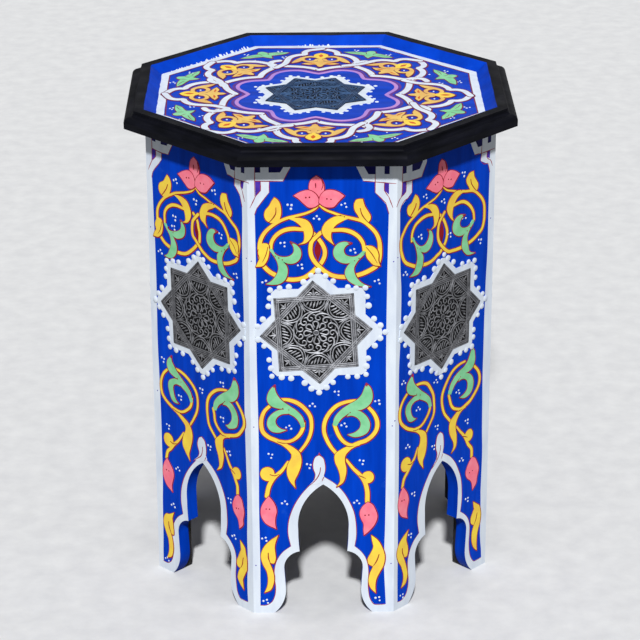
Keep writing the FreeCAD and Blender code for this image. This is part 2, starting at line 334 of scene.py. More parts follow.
PAINTS = {
    "white": paint("white_paint", (212, 222, 238), (230, 239, 249), 0.45, (1, 1, 0.25)),
    "red": paint("red_brown_line_paint", (132, 26, 40), (168, 40, 50), 0.45),
    "dark_red": paint("dark_red_paint", (120, 22, 34), (160, 34, 40), 0.45),
    "yellow": paint("yellow_paint", (244, 200, 82), (255, 228, 80), 0.4, scale=60),
    "amber": paint("amber_paint", (226, 174, 98), (242, 208, 110), 0.4, scale=60),
    "orange": paint("orange_paint", (196, 78, 24), (226, 112, 34), 0.4, scale=120),
    "pink": paint("pink_paint", (252, 118, 142), (255, 146, 164), 0.42),
    "green": paint("green_paint", (122, 202, 146), (150, 222, 172), 0.42),
    "lilac": paint("lilac_paint", (164, 128, 216), (200, 146, 212), 0.42, scale=30),
    "plum": paint("plum_line_paint", (96, 26, 62), (136, 44, 74), 0.45),
    "rose": paint("rose_tip_paint", (150, 40, 70), (178, 62, 88), 0.45),
    "purple": paint("purple_line_paint", (84, 44, 132), (110, 58, 150), 0.45),
    "violet": paint("violet_gap_paint", (60, 40, 150), (84, 60, 180), 0.45),
    # Near-black blue: painted shade for the strap gaps that lie under the rim.
    "painted_shade_blue": paint("painted_shade_blue_paint", (14, 16, 70), (24, 24, 96), 0.45),
    "ground": metal("pewter_ground", (6, 6, 8), (18, 19, 21), 0.68, 0.82, 0.8),
    "band": metal("pewter_band", (56, 57, 61), (92, 93, 98), 0.6, 0.74, 0.65),
    "ridge": metal("pewter_ridge", (84, 85, 89), (152, 153, 158), 0.54, 0.68, 0.65),
}
PAINT_ORDER = list(PAINTS)


# Curves. No length that is divided by is taken as less than tiny.

tiny = 1e-6


def smooth(points, step=curve_step):
    """A smooth curve through the points, as points about a step apart."""
    if len(points) < 3:
        points = [points[0], tuple((a + b) / 2 for a, b in zip(points[0], points[-1])), points[-1]]
    last = len(points) - 1

    def gap(index):
        return max(math.dist(points[index], points[index + 1]), tiny)

    def slope(index):
        if index == 0:
            return [(b - a) / gap(0) for a, b in zip(points[0], points[1])]
        before = gap(index - 1)
        if index == last:
            return [(b - a) / before for a, b in zip(points[-2], points[-1])]
        after = gap(index)
        return [
            ((c - b) / after * before + (b - a) / before * after) / (before + after)
            for a, b, c in zip(*points[index - 1:index + 2])
        ]

    line = []
    for index in range(last):
        length = gap(index)
        pieces = max(1, math.ceil(length / step))
        first, second = slope(index), slope(index + 1)
        for piece in range(pieces):
            t = piece / pieces
            weights = (2 * t**3 - 3 * t**2 + 1, t**3 - 2 * t**2 + t, -2 * t**3 + 3 * t**2, t**3 - t**2)
            line.append(tuple(
                weights[0] * a + weights[1] * length * m + weights[2] * b + weights[3] * length * n
                for a, b, m, n in zip(points[index], points[index + 1], first, second)
            ))
    line.append(tuple(points[-1]))
    return line


def along(values, share):
    """The value at a share of the way along an evenly spaced list."""
    place = share * (len(values) - 1)
    index = min(int(place), len(values) - 2)
    return values[index] + (values[index + 1] - values[index]) * (place - index)


def turned(points, angle, centre=(0.0, 0.0)):
    cos, sin = math.cos(angle), math.sin(angle)
    return [(centre[0] + x * cos - y * sin, centre[1] + x * sin + y * cos) for x, y in points]


def circle(centre, radius, count):
    steps = [2 * math.pi * step / count for step in range(count)]
    return [(centre[0] + radius * math.cos(a), centre[1] + radius * math.sin(a)) for a in steps]


class Painting:
    """Raised shapes on one flat face, drawn in millimetres and gathered into one mesh."""

    def __init__(self, name, place, seed=0, wobble=0.0, step=curve_step, line_colour="red", brush=1.0):
        self.name = name
        self.place = place
        self.random = random.Random(seed)
        self.wobble = wobble
        self.habits = {}
        self.slips = ()
        self.brush = brush
        self.line_colour = line_colour
        self.waves = [self.random.uniform(0, 2 * math.pi) for length in waver_lengths]
        self.step = step
        self.made = 0
        self.points = []
        self.faces = []
        self.colours = []

    def begin(self, form):
        """Takes the painter's slips in one form of the ornament."""
        self.slips = self.habits.get(form, ())

    def hand(self, x, y):
        """Where the painter's hand really put a point: between its slips, each (x, y, across, up)."""
        waves = []
        for way, length, start in zip((y, x, x, y), waver_lengths, self.waves):
            waves.append(math.sin(way / length + start))
        across = self.wobble * (waves[0] + waver_share * waves[1])
        up = self.wobble * (waves[2] + waver_share * waves[3])
        shares = [1 / ((x - slip[0]) ** 2 + (y - slip[1]) ** 2 + slip_blend**2) ** 2 for slip in self.slips]
        for share, slip in zip(shares, self.slips):
            across += slip[2] * share / sum(shares)
            up += slip[3] * share / sum(shares)
        return x + across, y + up

    def point(self, x, y, rise):
        self.points.append(self.place(x, y, rise))
        return len(self.points) - 1

    def face(self, corners, colour):
        self.faces.append(corners)
        self.colours.append(PAINT_ORDER.index(colour))

    def prism(self, loops, colour, rise, root=paint_root, free=True):
        """A flat shape with a rim; loops after the first are holes."""
        if free:
            loops = [[self.hand(*p) for p in loop] for loop in loops]
        flat = [p for loop in loops for p in loop]
        upper = [self.point(x, y, rise) for x, y in flat]
        lower = [self.point(x, y, root) for x, y in flat]
        for a, b, c in tessellate_polygon([[Vector((x, y, 0)) for x, y in loop] for loop in loops]):
            self.face((upper[a], upper[b], upper[c]), colour)
            self.face((lower[c], lower[b], lower[a]), colour)
        start = 0
        for loop in loops:
            size = len(loop)
            for step in range(size):
                a, b = start + step, start + (step + 1) % size
                self.face((upper[a], lower[a], lower[b], upper[b]), colour)
            start += size

    def ribbon(self, line, widths, colour, rise, root=paint_root, crown=crown_rise):
        """One brush stroke along a fine line, a little thicker in its middle."""
        line = [self.hand(*p) for p in line]
        lengths = [0.0]
        for a, b in zip(line, line[1:]):
            lengths.append(lengths[-1] + math.dist(a, b))
        total = max(lengths[-1], tiny)
        stations = []
        for index, here in enumerate(line):
            before, after = line[max(index - 1, 0)], line[min(index + 1, len(line) - 1)]
            run = max(math.dist(before, after), tiny)
            way = ((after[0] - before[0]) / run, (after[1] - before[1]) / run)
            stations.append((here, way, along(widths, lengths[index] / total) / 2))
        (start, start_way, start_half), (end, end_way, end_half) = stations[0], stations[-1]
        for angle in end_angles:
            out, half = start_half * math.sin(angle), start_half * math.cos(angle)
            here = (start[0] - start_way[0] * out, start[1] - start_way[1] * out)
            stations.insert(0, (here, start_way, half))
            out, half = end_half * math.sin(angle), end_half * math.cos(angle)
            here = (end[0] + end_way[0] * out, end[1] + end_way[1] * out)
            stations.append((here, end_way, half))
        rings = []
        for (x, y), (along_x, along_y), half in stations:
            half = max(half, thinnest_half)
            left = (x - along_y * half, y + along_x * half)
            right = (x + along_y * half, y - along_x * half)
            rings.append((
                self.point(*left, root), self.point(*left, rise), self.point(x, y, rise + crown),
                self.point(*right, rise), self.point(*right, root),
            ))
        for ring, following in zip(rings, rings[1:]):
            for step in range(5):
                other = (step + 1) % 5
                self.face((ring[step], ring[other], following[other], following[step]), colour)
        self.face(rings[0][::-1], colour)
        self.face(rings[-1], colour)

    def dome(self, x, y, radius, colour, rise, height, free=True):
        """A round dab of paint."""
        if free:
            x, y = self.hand(x, y)
        sides = large_dome_sides if radius > large_dome else small_dome_sides
        inward, upward = dome_shoulder
        rings = []
        for share, level in ((1.0, paint_root), (1.0, rise), (inward, rise + upward * height)):
            rings.append([self.point(px, py, level) for px, py in circle((x, y), radius * share, sides)])
        top = self.point(x, y, rise + height)
        for ring, following in zip(rings, rings[1:]):
            for step in range(sides):
                other = (step + 1) % sides
                self.face((ring[step], ring[other], following[other], following[step]), colour)
        for step in range(sides):
            self.face((rings[2][step], rings[2][(step + 1) % sides], top), colour)
        self.face(rings[0][::-1], colour)

    def level(self, layer):
        """Height of a layer, a hair higher for each new shape so that no two faces coincide."""
        self.made += 1
        return layer * layer_pitch + self.made % lifts_in_turn * shape_lift

    def stroke(self, colour, layer, widths, points, outline=outline_width):
        """A brush stroke with its thin line on both sides. Strokes and shapes of one layer run together."""
        line = smooth(points, self.step)
        base = self.level(layer)
        widths = [w * self.brush for w in widths]
        if outline:
            wider = [w + 2 * outline for w in widths]
            self.ribbon(self.slipped(line), wider, self.line_colour, base + line_rise, crown=0.0)
        self.ribbon(line, widths, colour, base + colour_rise)

    def slipped(self, line):
        return [(x + outline_slip[0], y + outline_slip[1]) for x, y in line]

    def shape(self, colour, layer, *edges, outline=outline_width, root=None):
        """A filled shape whose edges are smooth curves meeting at sharp corners. Each edge ends where the
        next one starts, and the last ends at the start of the first. The shape's line leaves out a circle
        round root, given as (x, y, radius), where the shape grows out of a stroke."""
        base = self.level(layer)
        loop = []
        for number, edge in enumerate(edges):
            corner = edges[(number + 1) % len(edges)][0]
            line = smooth([*edge, corner], self.step)
            loop += line[:-1]
            if outline:
                self.outline_edge(line, outline, base + line_rise + number * shape_lift, root)
        self.prism([loop], colour, base + colour_rise)

    def outline_edge(self, line, outline, rise, root):
        """The line along one edge of a shape, in runs that stay clear of its root."""
        run = []
        for spot in line + [None]:
            if spot and not (root and math.dist(spot, root[:2]) < root[2]):
                run.append(spot)
                continue
            if len(run) > 1:
                self.ribbon(self.slipped(run), (2 * outline, 2 * outline), self.line_colour, rise, crown=0.0)
            run = []

    def mark(self, layer, width, points, colour="red"):
        """A thin line drawn over the colours."""
        line = smooth(points, self.step)
        widths = [width * share for share in mark_shares]
        self.ribbon(line, widths, colour, self.level(layer), crown=mark_crown)

    def dots(self, layer, places, radius, colour="white", height=0.3):
        for x, y in places:
            size = radius * self.random.uniform(*dot_sizes)
            self.dome(x, y, size, colour, self.level(layer), height)

    def mesh(self):
        """All the shapes as one mesh of closed shells."""
        mesh = bpy.data.meshes.new(self.name)
        mesh.from_pydata(self.points, [], self.faces)
        for name in PAINT_ORDER:
            mesh.materials.append(PAINTS[name])
        mesh.polygons.foreach_set("material_index", self.colours)
        shells = bmesh.new()
        shells.from_mesh(mesh)
        bmesh.ops.recalc_face_normals(shells, faces=shells.faces)
        shells.to_mesh(mesh)
        shells.free()
        mesh.shade_smooth()
        mesh.set_sharp_from_angle(angle=sharp_angle)
        used = set(self.colours)
        for index in reversed(range(len(PAINT_ORDER))):
            if index not in used:
                mesh.materials.pop(index=index)
        return mesh


def add_piece(name, mesh, matrix=None):
    piece = bpy.data.objects.new(name, mesh)
    if matrix:
        piece.matrix_world = matrix
    bpy.context.scene.collection.objects.link(piece)
    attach(piece, "root")
    return piece


def side_place(turn):
    """The place of a point on a side face: across, up and out from the wood."""
    across, out = side_axes(turn)

    def place(x, y, rise):
        return (out * (body_apothem + rise) + across * x + Vector((0, 0, y))) * MM
    return place


def top_place(x, y, rise):
    return Vector((x, y, board_top + rise)) * MM


weld_distance = 0.01
face_depth = 0.1
face_slant = 0.99


def face_outline(node, turn):
    """The outer edge of a side face, read from the wood, as (across, up) in millimetres."""
    across, out = side_axes(turn)
    wood = bmesh.new()
    wood.from_mesh(nodes[node].data)
    bmesh.ops.remove_doubles(wood, verts=wood.verts, dist=weld_distance * MM)
    wood.normal_update()
    near = (body_apothem - face_depth) * MM
    outer = []
    for face in wood.faces:
        if face.normal.dot(out) > face_slant and face.calc_center_median().dot(out) > near:
            outer.append(face)
    following = {}
    for face in outer:
        for loop in face.loops:
            if not any(other in outer for other in loop.edge.link_faces if other is not face):
                following[loop.vert] = loop.link_loop_next.vert
    best = []
    while following:
        start = next(iter(following))
        path = []
        here = start
        while here in following:
            path.append((here.co.dot(across) / MM, here.co.z / MM))
            here = following.pop(here)
        if len(path) > len(best):
            best = path
    wood.free()
    return best


# The star-shaped border: white band and dots round a metal star. The dots stand by each tip and at the
# given shares of the way from it to the notches beside it.

border_width = 8.0
border_tip_cut = 3.3
border_rough = 0.6
border_overlap = 1.5
dot_radius = 3.0
dot_reach = 3.1
dot_shares = (0.34, 0.7)
border_dot_sizes = (0.88, 1.1)
dot_scatter = 0.7
dot_height = 0.5
dot_lift = 0.02


def star_points(radius, centre, tilt, reach=0.0, tip_cut=0.0):
    """The outline of an eight-pointed star of two squares, its edges moved out by reach."""
    apothem = radius * ROOT_HALF + reach
    tip = apothem * math.sqrt(2) - tip_cut
    notch = apothem / math.cos(HALF_TURN)
    spread = math.atan2(tip_cut, tip)
    loop = []
    for index in range(8):
        angle = tilt + math.pi / 2 + index * TURN
        if tip_cut:
            loop += [(tip, angle - spread), (tip, angle + spread)]
        else:
            loop.append((tip, angle))
        loop.append((notch, angle + HALF_TURN))
    return [(centre[0] + r * math.cos(a), centre[1] + r * math.sin(a)) for r, a in loop]


def star_border(art, centre, radius, tilt, width, layer, dot=dot_radius, shift=(0.0, 0.0, 0.0),
                limit=math.inf):
    """White band round the star, with white dots along its edge. The shift is the band's own slip off
    the star: across, up and degrees. No dot lies farther than the limit from the middle line."""
    slipped = (centre[0] + shift[0], centre[1] + shift[1])
    leaning = tilt + math.radians(shift[2])
    rough = art.random
    outer = []
    for x, y in star_points(radius, slipped, leaning, width, border_tip_cut):
        outer.append((x + rough.uniform(-border_rough, border_rough),
                      y + rough.uniform(-border_rough, border_rough)))
    inner = star_points(radius - border_overlap, centre, tilt)
    rise = art.level(layer) + colour_rise
    art.prism([outer, inner], "white", rise, free=False)
    apothem = radius * ROOT_HALF + width
    tip = apothem * math.sqrt(2) - border_tip_cut + dot_reach
    notch = (apothem + dot_reach) / math.cos(HALF_TURN)
    for index in range(8):
        angle = leaning + math.pi / 2 + index * TURN
        ends = [(tip * math.cos(angle), tip * math.sin(angle))]
        for side in (-1, 1):
            other = angle + side * HALF_TURN
            ends.append((notch * math.cos(other), notch * math.sin(other)))
        spots = [ends[0]]
        for end in ends[1:]:
            for share in dot_shares:
                spots.append(tuple(a + (b - a) * share for a, b in zip(ends[0], end)))
        for x, y in spots:
            size = dot * rough.uniform(*border_dot_sizes)
            x, y = (slipped[0] + x + rough.uniform(-dot_scatter, dot_scatter),
                    slipped[1] + y + rough.uniform(-dot_scatter, dot_scatter))
            if abs(x) < limit:
                art.dome(x, y, size, "white", rise + dot_lift, dot_height, free=False)


# The painted side faces, in millimetres from the middle of the face and up from the floor. The dots of
# the star's border keep off the white stripes, which begin about dot_limit from the middle.

dot_limit = 66.5
edge_step = 12
blue_edge_left = [(-66, 9), (-65.6, 60), (-66, 120), (-65.4, 200), (-66.2, 300), (-65.5, 380), (-66, 446)]
blue_edge_right = [(65, 446), (64.2, 400), (63.4, 300), (64.2, 190), (63.6, 100), (62.8, 60), (65, 9)]
corner_left = [(-66, 446), (-64, 452), (-51.5, 469), (-51.5, 480.5), (-38, 480.5), (-31, 494), (-31, 500)]
corner_right = [(33, 500), (33, 495), (40, 480), (51.5, 479), (51.5, 468), (62, 456), (65, 446)]
arch_left_low = [(-33.8, 78.5), (-42, 72), (-48, 63), (-51, 52), (-51, 40), (-50, 30), (-51, 20), (-54, 13),
                 (-60, 9)]
arch_left_high = [(-6, 156.5), (-11, 152), (-18, 144.5), (-25, 135), (-31.3, 123), (-35.6, 109), (-36.6, 94),
                  (-33.8, 78.5)]
arch_right_high = [(32.5, 78), (34.2, 90), (34, 102), (31.4, 119), (27, 130), (21.5, 140), (13, 150),
                   (2, 158)]
arch_right_low = [(53, 9), (49, 15), (47, 25), (46.5, 35), (47, 47), (46, 57), (43, 66), (38, 73), (32.5, 78)]


def side_frame(art, outline):
    """White stripes, feet and arch band round the blue field, with the fine red line of the arch."""
    art.begin("frame")
    field = smooth(blue_edge_left, edge_step)[:-1] + corner_left + corner_right[:-1]
    field += smooth(blue_edge_right, edge_step)
    field += smooth(arch_right_low)[:-1] + smooth(arch_right_high) + smooth(arch_left_high)[:-1]
    field += smooth(arch_left_low)
    field = [art.hand(*p) for p in field]
    art.prism([outline, field], "white", art.level(0) + colour_rise, free=False)
    art.mark(0.9, 0.9, [(-66, 9), (-60, 9)] + arch_left_low[-2::-1])
    art.mark(0.9, 0.9, arch_left_high[::-1])
    art.mark(0.9, 0.9, [(64, 9), (58, 8.6), (53, 9)] + arch_right_low[1:])
    art.mark(0.9, 0.9, arch_right_high)


def side_corners(art):
    """The strapwork in the two upper corners: dark gaps in the white, those under the rim painted shade, and
    red lines along the straps.
    """
    gaps = [
        ("violet", [(-65, 481), (-60, 481), (-60, 471), (-65, 465.5)]),
        ("violet", [(65, 478), (60.5, 478), (60.5, 470), (65, 466)]),
        # Painted shade: these upper gaps lie in the rim's shadow and are painted a near-black blue for it.
        ("painted_shade_blue", [(-65.5, 489.5), (-60, 489.5), (-60, 500), (-65.5, 500)]),
        ("painted_shade_blue", [(-52, 489.5), (-41, 489.5), (-37, 496), (-37, 500), (-52, 500)]),
        ("painted_shade_blue", [(52, 487), (45, 487), (40, 496), (40, 500), (52, 500)]),
        ("painted_shade_blue", [(60.5, 487), (65.5, 487), (65.5, 500), (60.5, 500)]),
    ]
    for colour, loop in gaps:
        art.prism([loop], colour, art.level(1))
    lines = [
        [(-66, 446), (-64, 452), (-51.5, 469), (-51.5, 480)],
        [(-65.5, 480.5), (-38, 480.3), (-31, 494)],
        [(-60, 471), (-60, 480)],
        [(-60, 471), (-65, 465), (-70.5, 453)],
        [(-65.5, 465), (-65.5, 498)],
        [(65, 446), (62, 457), (51.5, 468), (51.5, 487)],
        [(40, 480), (51, 479), (72, 477)],
        [(60.5, 470), (60.5, 478)],
        [(60.5, 470), (65, 463), (69, 452)],
    ]
    for points in lines:
        for a, b in zip(points, points[1:]):
            art.mark(1.4, 0.9, [a, b])


def finial(art, red_tip=True):
    """The white drop over the arch, with its red tip and curl."""
    art.begin("finial")
    if red_tip:
        art.shape(
            "rose", 1, [(-7, 181), (-5.2, 183.6)], [(-4, 186.6), (-2.8, 184)], [(-0.5, 180.5), (-4, 177)],
            outline=0,
        )
    drop = [(-14, 149.5), (-9.3, 155.5), (-8.3, 161.5), (-10.4, 168.3), (-10.2, 175.8), (-7.7, 181.7)]
    back = [(-4, 183.6), (-0.4, 181), (2.1, 173.3), (2.2, 166), (0.8, 160)]
    art.shape("white", 2, drop, back, [(2, 156), (-5, 151)], outline=0)
    art.mark(3, 1.0, drop[1:] + back[:1])
    art.mark(3, 1.0, back)
    art.mark(3, 1.1, [(-2.7, 169.2), (-3.3, 164.2), (-5.7, 158.3), (-10.2, 152.5), (-16, 147.5)])
    art.mark(3, 0.9, [(0.6, 158.5), (-1.2, 154)])


def flower(art):
    """The pink flower at the top of the scrolls."""
    art.begin("flower")
    art.shape(
        "pink", 2, [(-6, 463.5), (-12, 469), (-13, 475), (-10.8, 482)],
        [(-5.8, 486), (-0.8, 482), (1.8, 475), (1, 468)], [(-2, 463.5)],
    )
    art.shape(
        "pink", 3, [(-28, 465.5), (-21, 469.5), (-13, 471), (-8, 468.5), (-4, 463)],
        [(-3, 457), (-7, 453.8), (-13, 453), (-18, 457), (-24, 463)],
    )
    art.shape(
        "pink", 4, [(21.5, 465), (16, 469), (9, 471.3), (3, 470.5), (-2, 465)],
        [(-3.3, 458), (1, 454.5), (6, 453), (11, 453.5), (15, 458)],
    )
    art.mark(5, 1.2, [(-6.5, 478), (-6.3, 473.5)])
    art.mark(5, 0.9, [(-0.5, 481.5), (0.8, 476), (-0.8, 471.5)])
    art.dots(5, [(-16, 463.5), (-12.5, 463.8), (4.5, 462), (8.5, 461.5)], 0.8, "dark_red", 0.1)


def upper_scrolls(art, side_buds=True):
    """The pair of yellow scrolls above the star."""
    art.begin("lens")
    art.shape("dark_red", 0.5, [(-4.5, 420), (-8, 408)], [(-4.5, 396), (-1.5, 407)], outline=0)
    art.begin("scroll left")
    art.stroke(
        "yellow", 1, (1.9, 3.1, 4.1, 4.4, 4.1, 3.8),
        [(-3.2, 456), (-6.8, 451.8), (-14.3, 447.7), (-24.3, 444.7), (-35.2, 441.8), (-43.5, 438),
         (-51, 432.7), (-57.3, 426), (-60.8, 418.5), (-61.6, 408), (-58.5, 393), (-52.7, 386),
         (-46, 381.8), (-36.8, 377.9), (-27.7, 377), (-18.5, 379), (-11.8, 383.5), (-6, 389.3), (-1, 395),
         (2, 401.8), (2.3, 407.7), (0.3, 413.5), (-2.7, 418.5), (-6, 422.7), (-8.8, 425.5)],
    )
    art.begin("bud left")
    art.shape(
        "yellow", 1,
        [(-46.8, 463.8), (-49.3, 460.2), (-51.8, 455.2), (-55.7, 450.2), (-56.8, 445.2), (-55.2, 440.2)],
        [(-50.5, 437), (-44.3, 437.2), (-40.7, 444.3), (-40.2, 451), (-41.5, 457.7), (-44, 461.8)],
    )
    art.mark(5, 1.0, [(-45.3, 453), (-45.6, 447), (-48.5, 442), (-52.5, 437.5)])
    art.begin("scroll right")
    art.stroke(
        "yellow", 2, (1.9, 3.1, 4.1, 4.4, 4.1, 3.8),
        [(-3.2, 456), (2.3, 451), (10.7, 447.3), (20.7, 443.5), (30.7, 441), (39, 438.5), (46.5, 432.7),
         (52.3, 426), (55.7, 417.7), (56.5, 407.7), (55.7, 397.7), (53.2, 391), (47.3, 386.8),
         (39, 382.7), (30.7, 380.4), (20.7, 379.5), (10.7, 380.9), (4, 384.3), (-2.7, 390.2), (-7.7, 396),
         (-11, 402.7), (-11.8, 410.2), (-10.2, 417.7), (-6, 422.3), (-1.8, 426.5)],
    )
    art.begin("bud right")
    art.shape(
        "yellow", 2, [(33, 460.8), (31.2, 457), (31.8, 449.3), (34.8, 444.3), (37, 439.5)],
        [(43.5, 436), (46.7, 439.3), (47.3, 443.5), (44.8, 448.5), (41.5, 454.3), (40.2, 458.5)],
        [(39.5, 461.5), (36, 461.6)],
    )
    art.mark(5, 1.0, [(37, 452), (38.5, 446), (41.5, 441), (44.5, 437.5)])
    art.begin("hook left")
    art.stroke(
        "yellow", 3, (3.4, 4.2, 3.8, 3.2),
        [(-17, 430), (-22, 430.5), (-29.3, 431), (-38.5, 429), (-46, 423.5), (-50.2, 416),
         (-50.8, 408.5)],
    )
    art.shape(
        "yellow", 3,
        [(-33, 441.5), (-26, 442.4), (-18.5, 441.5), (-13.5, 438.5), (-10.2, 432.7), (-9.3, 426.8),
         (-11.8, 420.2), (-16, 416)],
        [(-23.5, 414.2), (-19, 417), (-17.7, 423.5), (-18.5, 428.5), (-21.8, 434.3), (-26, 438)],
        root=(-35, 442, 9),
    )
    art.mark(4, 1.0, [(-25.5, 443), (-21, 442.6), (-17, 441)])
    art.begin("hook right")
    art.stroke(
        "yellow", 3, (3.4, 4.2, 3.8, 3.2),
        [(9, 429), (14, 429.3), (20.7, 429.3), (29, 426.8), (35.7, 421.8), (39.8, 415.2), (41.2, 406.5)],
    )
    art.shape(
        "yellow", 3,
        [(27, 441.8), (22.3, 443.2), (14, 443.8), (7.3, 441), (1.5, 435.2), (-0.7, 428.5), (1.5, 422.7),
         (6, 418)],
        [(11.5, 413.5), (9, 419.3), (8.5, 424.3), (9.8, 429.3), (13.2, 434.3), (18.2, 437.7)],
        root=(29, 442, 9),
    )
    art.dots(4, [(17.5, 444.5), (21.5, 443.2)], 0.7, "dark_red", 0.1)
    art.begin("side buds")
    if side_buds:
        art.shape(
            "yellow", 3.6,
            [(-60, 415.4), (-56.5, 416), (-53.5, 415), (-52.4, 410), (-52.7, 404), (-54.8, 397),
             (-58.5, 392)],
            [(-65.7, 391), (-63.7, 396), (-62, 400), (-63.3, 406), (-62.3, 411)], root=(-61, 413.5, 4.5),
        )
        art.mark(5, 0.9, [(-53.5, 412), (-55.5, 404), (-59, 396)])
        art.shape(
            "yellow", 3.6, [(42.3, 412.7), (49, 412), (53.2, 408.5), (55.2, 402.7), (55, 397)],
            [(57, 390.8), (50, 392.3), (46.5, 396), (43.2, 401), (42.6, 407)], root=(41.5, 410, 4.5),
        )
        art.mark(5, 0.9, [(43, 411), (48.5, 404), (54, 394)])


def upper_leaves(art):
    """The green leaves that grow out of the yellow rings, above the star."""
    art.begin("leaf left")
    left_root = (-51, 411, 6)
    art.shape(
        "green", 4.6,
        [(-52.4, 409), (-47.5, 402), (-44.3, 395), (-43.6, 388), (-46, 381.5), (-51, 375.5)],
        [(-56, 372.6), (-50, 371.8), (-42.5, 372.7), (-37, 377), (-34.5, 384), (-35, 391), (-38.5, 396),
         (-42, 399.8), (-46, 404)],
        [(-49.2, 410)], root=left_root,
    )
    art.shape(
        "green", 4.6,
        [(-52.2, 410), (-47.8, 403.5), (-42.5, 399), (-36.5, 395.3), (-30.5, 394), (-24.5, 396.5),
         (-21.2, 402), (-21.4, 408.5), (-25.5, 414)],
        [(-31.5, 417.3), (-28.4, 411.5), (-28.6, 406), (-32, 402.5), (-37.5, 401.3), (-43, 402.3),
         (-47.3, 405.5)],
        [(-49.2, 410)], root=left_root,
    )
    art.shape("rose", 4.9, [(-31.5, 417.3), (-29.6, 414.8)], [(-28, 415.2)], outline=0)
    art.begin("leaf right")
    right_root = (41.4, 408, 6)
    art.shape(
        "green", 4.6,
        [(43, 406.4), (34.5, 398.5), (28.5, 395), (22, 394), (15.5, 396.5), (11.2, 402), (11, 409),
         (15, 414.8), (21.5, 417)],
        [(28.5, 415.4), (23.2, 412.5), (21, 408), (22.5, 403.5), (27.5, 401.3), (33, 401.5)],
        [(39.6, 407)], root=right_root,
    )
    art.shape(
        "green", 4.6, [(31, 398), (24.5, 391), (22, 384.3), (24, 377.7), (30.7, 371.8), (39, 369.3)],
        [(47.5, 369), (41.5, 371.3), (36.5, 375.2), (32.3, 381.8), (31.2, 389.3), (34, 395.2)],
        [(42.6, 404.7)], root=right_root,
    )
    art.shape("rose", 4.9, [(28.5, 415.4), (25.8, 414.4)], [(24.4, 416.2)], outline=0)
    art.dots(
        6.2, [(-46.5, 402.4), (-43, 400.4), (-39.5, 398.4), (31.5, 396.8), (36, 399.3)], 0.6, "dark_red",
        0.08,
    )


def lower_left(art):
    """The spiral with its leaves below the star, left side."""
    art.begin("spiral left")
    art.stroke(
        "yellow", 1, (2.9, 4.2, 4.0, 3.5, 3.3, 2.8),
        [(-44, 246.3), (-36, 246), (-27, 243), (-19, 236.5), (-13, 227.5), (-11.6, 217), (-13.4, 205.5),
         (-17.5, 196.5), (-23.5, 188)],
    )
    art.stroke(
        "yellow", 2, (3.3, 4.0, 4.2, 4.3, 5.0),
        [(-53.5, 239.5), (-58.8, 234), (-62, 226), (-62.6, 218), (-61, 210.5), (-55.4, 204.5),
         (-47.5, 200.5), (-40, 196.5), (-33, 190), (-29, 184)],
    )
    art.stroke(
        "yellow", 2, (3.8, 3.7, 3.3, 3.3),
        [(-20, 221), (-20.6, 214), (-24.2, 206.5), (-30.6, 200.8), (-37, 198.8), (-44, 199.6)],
    )
    art.shape(
        "yellow", 2, [(-33, 190), (-32.4, 181), (-35.8, 174), (-37, 163), (-34.4, 154.6)],
        [(-28.4, 146), (-29.2, 154), (-25.8, 162), (-22.8, 171), (-22.2, 180), (-24, 186.5), (-28.4, 191),
         (-34.5, 195.2)],
        [(-42, 197.4)],
    )
    art.mark(3.2, 0.9, [(-46.4, 199), (-41, 197.4), (-34, 197.4)])
    art.begin("sprout left")
    art.shape(
        "green", 4, [(-48.5, 262.5), (-52.5, 258.5), (-55.8, 252), (-56.2, 245), (-53, 240), (-47, 237)],
        [(-40, 236), (-35, 231), (-29.5, 227.5), (-25, 222.5)], [(-22, 214.5)],
        [(-18.2, 216), (-21, 227), (-27, 234.2), (-35, 240.2), (-42, 246), (-46.2, 252), (-48.2, 257.5)],
        root=(-20, 215, 5),
    )
    art.shape(
        "green", 4,
        [(-37, 235.5), (-45, 234.6), (-51, 231), (-55.6, 225), (-56.4, 217), (-52.6, 211.2),
         (-45.5, 209.4)],
        [(-37, 212.2), (-42, 213.4), (-46.4, 217), (-48.2, 222), (-46.4, 226.6), (-42, 229.8)],
        [(-35, 230.6)],
    )
    art.shape("rose", 4.3, [(-48.5, 263.4), (-50.1, 260.8), (-49.7, 259.2), (-48.3, 260)], outline=0)
    art.mark(4.3, 0.9, [(-50, 237.4), (-45, 236.4), (-39.8, 236.6)])
    art.dots(4.4, [(-40.5, 236.6), (-34.5, 234.8)], 0.7, "dark_red", 0.1)
    art.begin("spiral left")
    art.stroke(
        "yellow", 1, (2.4, 3.8, 4.4, 4.2),
        [(-36, 176), (-42, 166.5), (-49.5, 159), (-55, 150), (-58, 137)],
    )
    art.shape(
        "yellow", 1,
        [(-49.5, 162), (-51.2, 167.5), (-56.5, 170.4), (-62, 168.5), (-64.3, 163), (-62.3, 157.2),
         (-57, 154.4), (-51.5, 155.4)],
    )
    art.mark(3.2, 0.9, [(-54.3, 161.7), (-49.5, 160.4), (-44.5, 162.3)])
    art.begin("pink left")
    art.shape(
        "pink", 2, [(-56, 137), (-60.2, 131.5), (-63.8, 124), (-63.8, 114), (-59.6, 106)],
        [(-48.5, 99), (-49.6, 104), (-49.4, 112), (-48, 119), (-49.2, 126), (-52.6, 132.6)],
    )
    art.dots(3.2, [(-58.7, 122.3), (-55.2, 122.1)], 0.8, "dark_red", 0.1)
    art.begin("foot left")
    art.shape(
        "yellow", 2,
        [(-46.6, 91.5), (-55, 85.5), (-61.6, 78), (-64.8, 68), (-63, 58), (-59, 49), (-57.8, 39),
         (-58.6, 32)],
        [(-61.5, 24), (-55.4, 27), (-52.2, 34), (-51.4, 43), (-53, 51)],
        [(-56, 59.5), (-51.5, 58.6), (-49.6, 63), (-49.8, 70), (-50.4, 78), (-49, 85)],
    )
    art.mark(3.2, 1.3, [(-57.2, 71), (-57, 65), (-55, 58.5)])


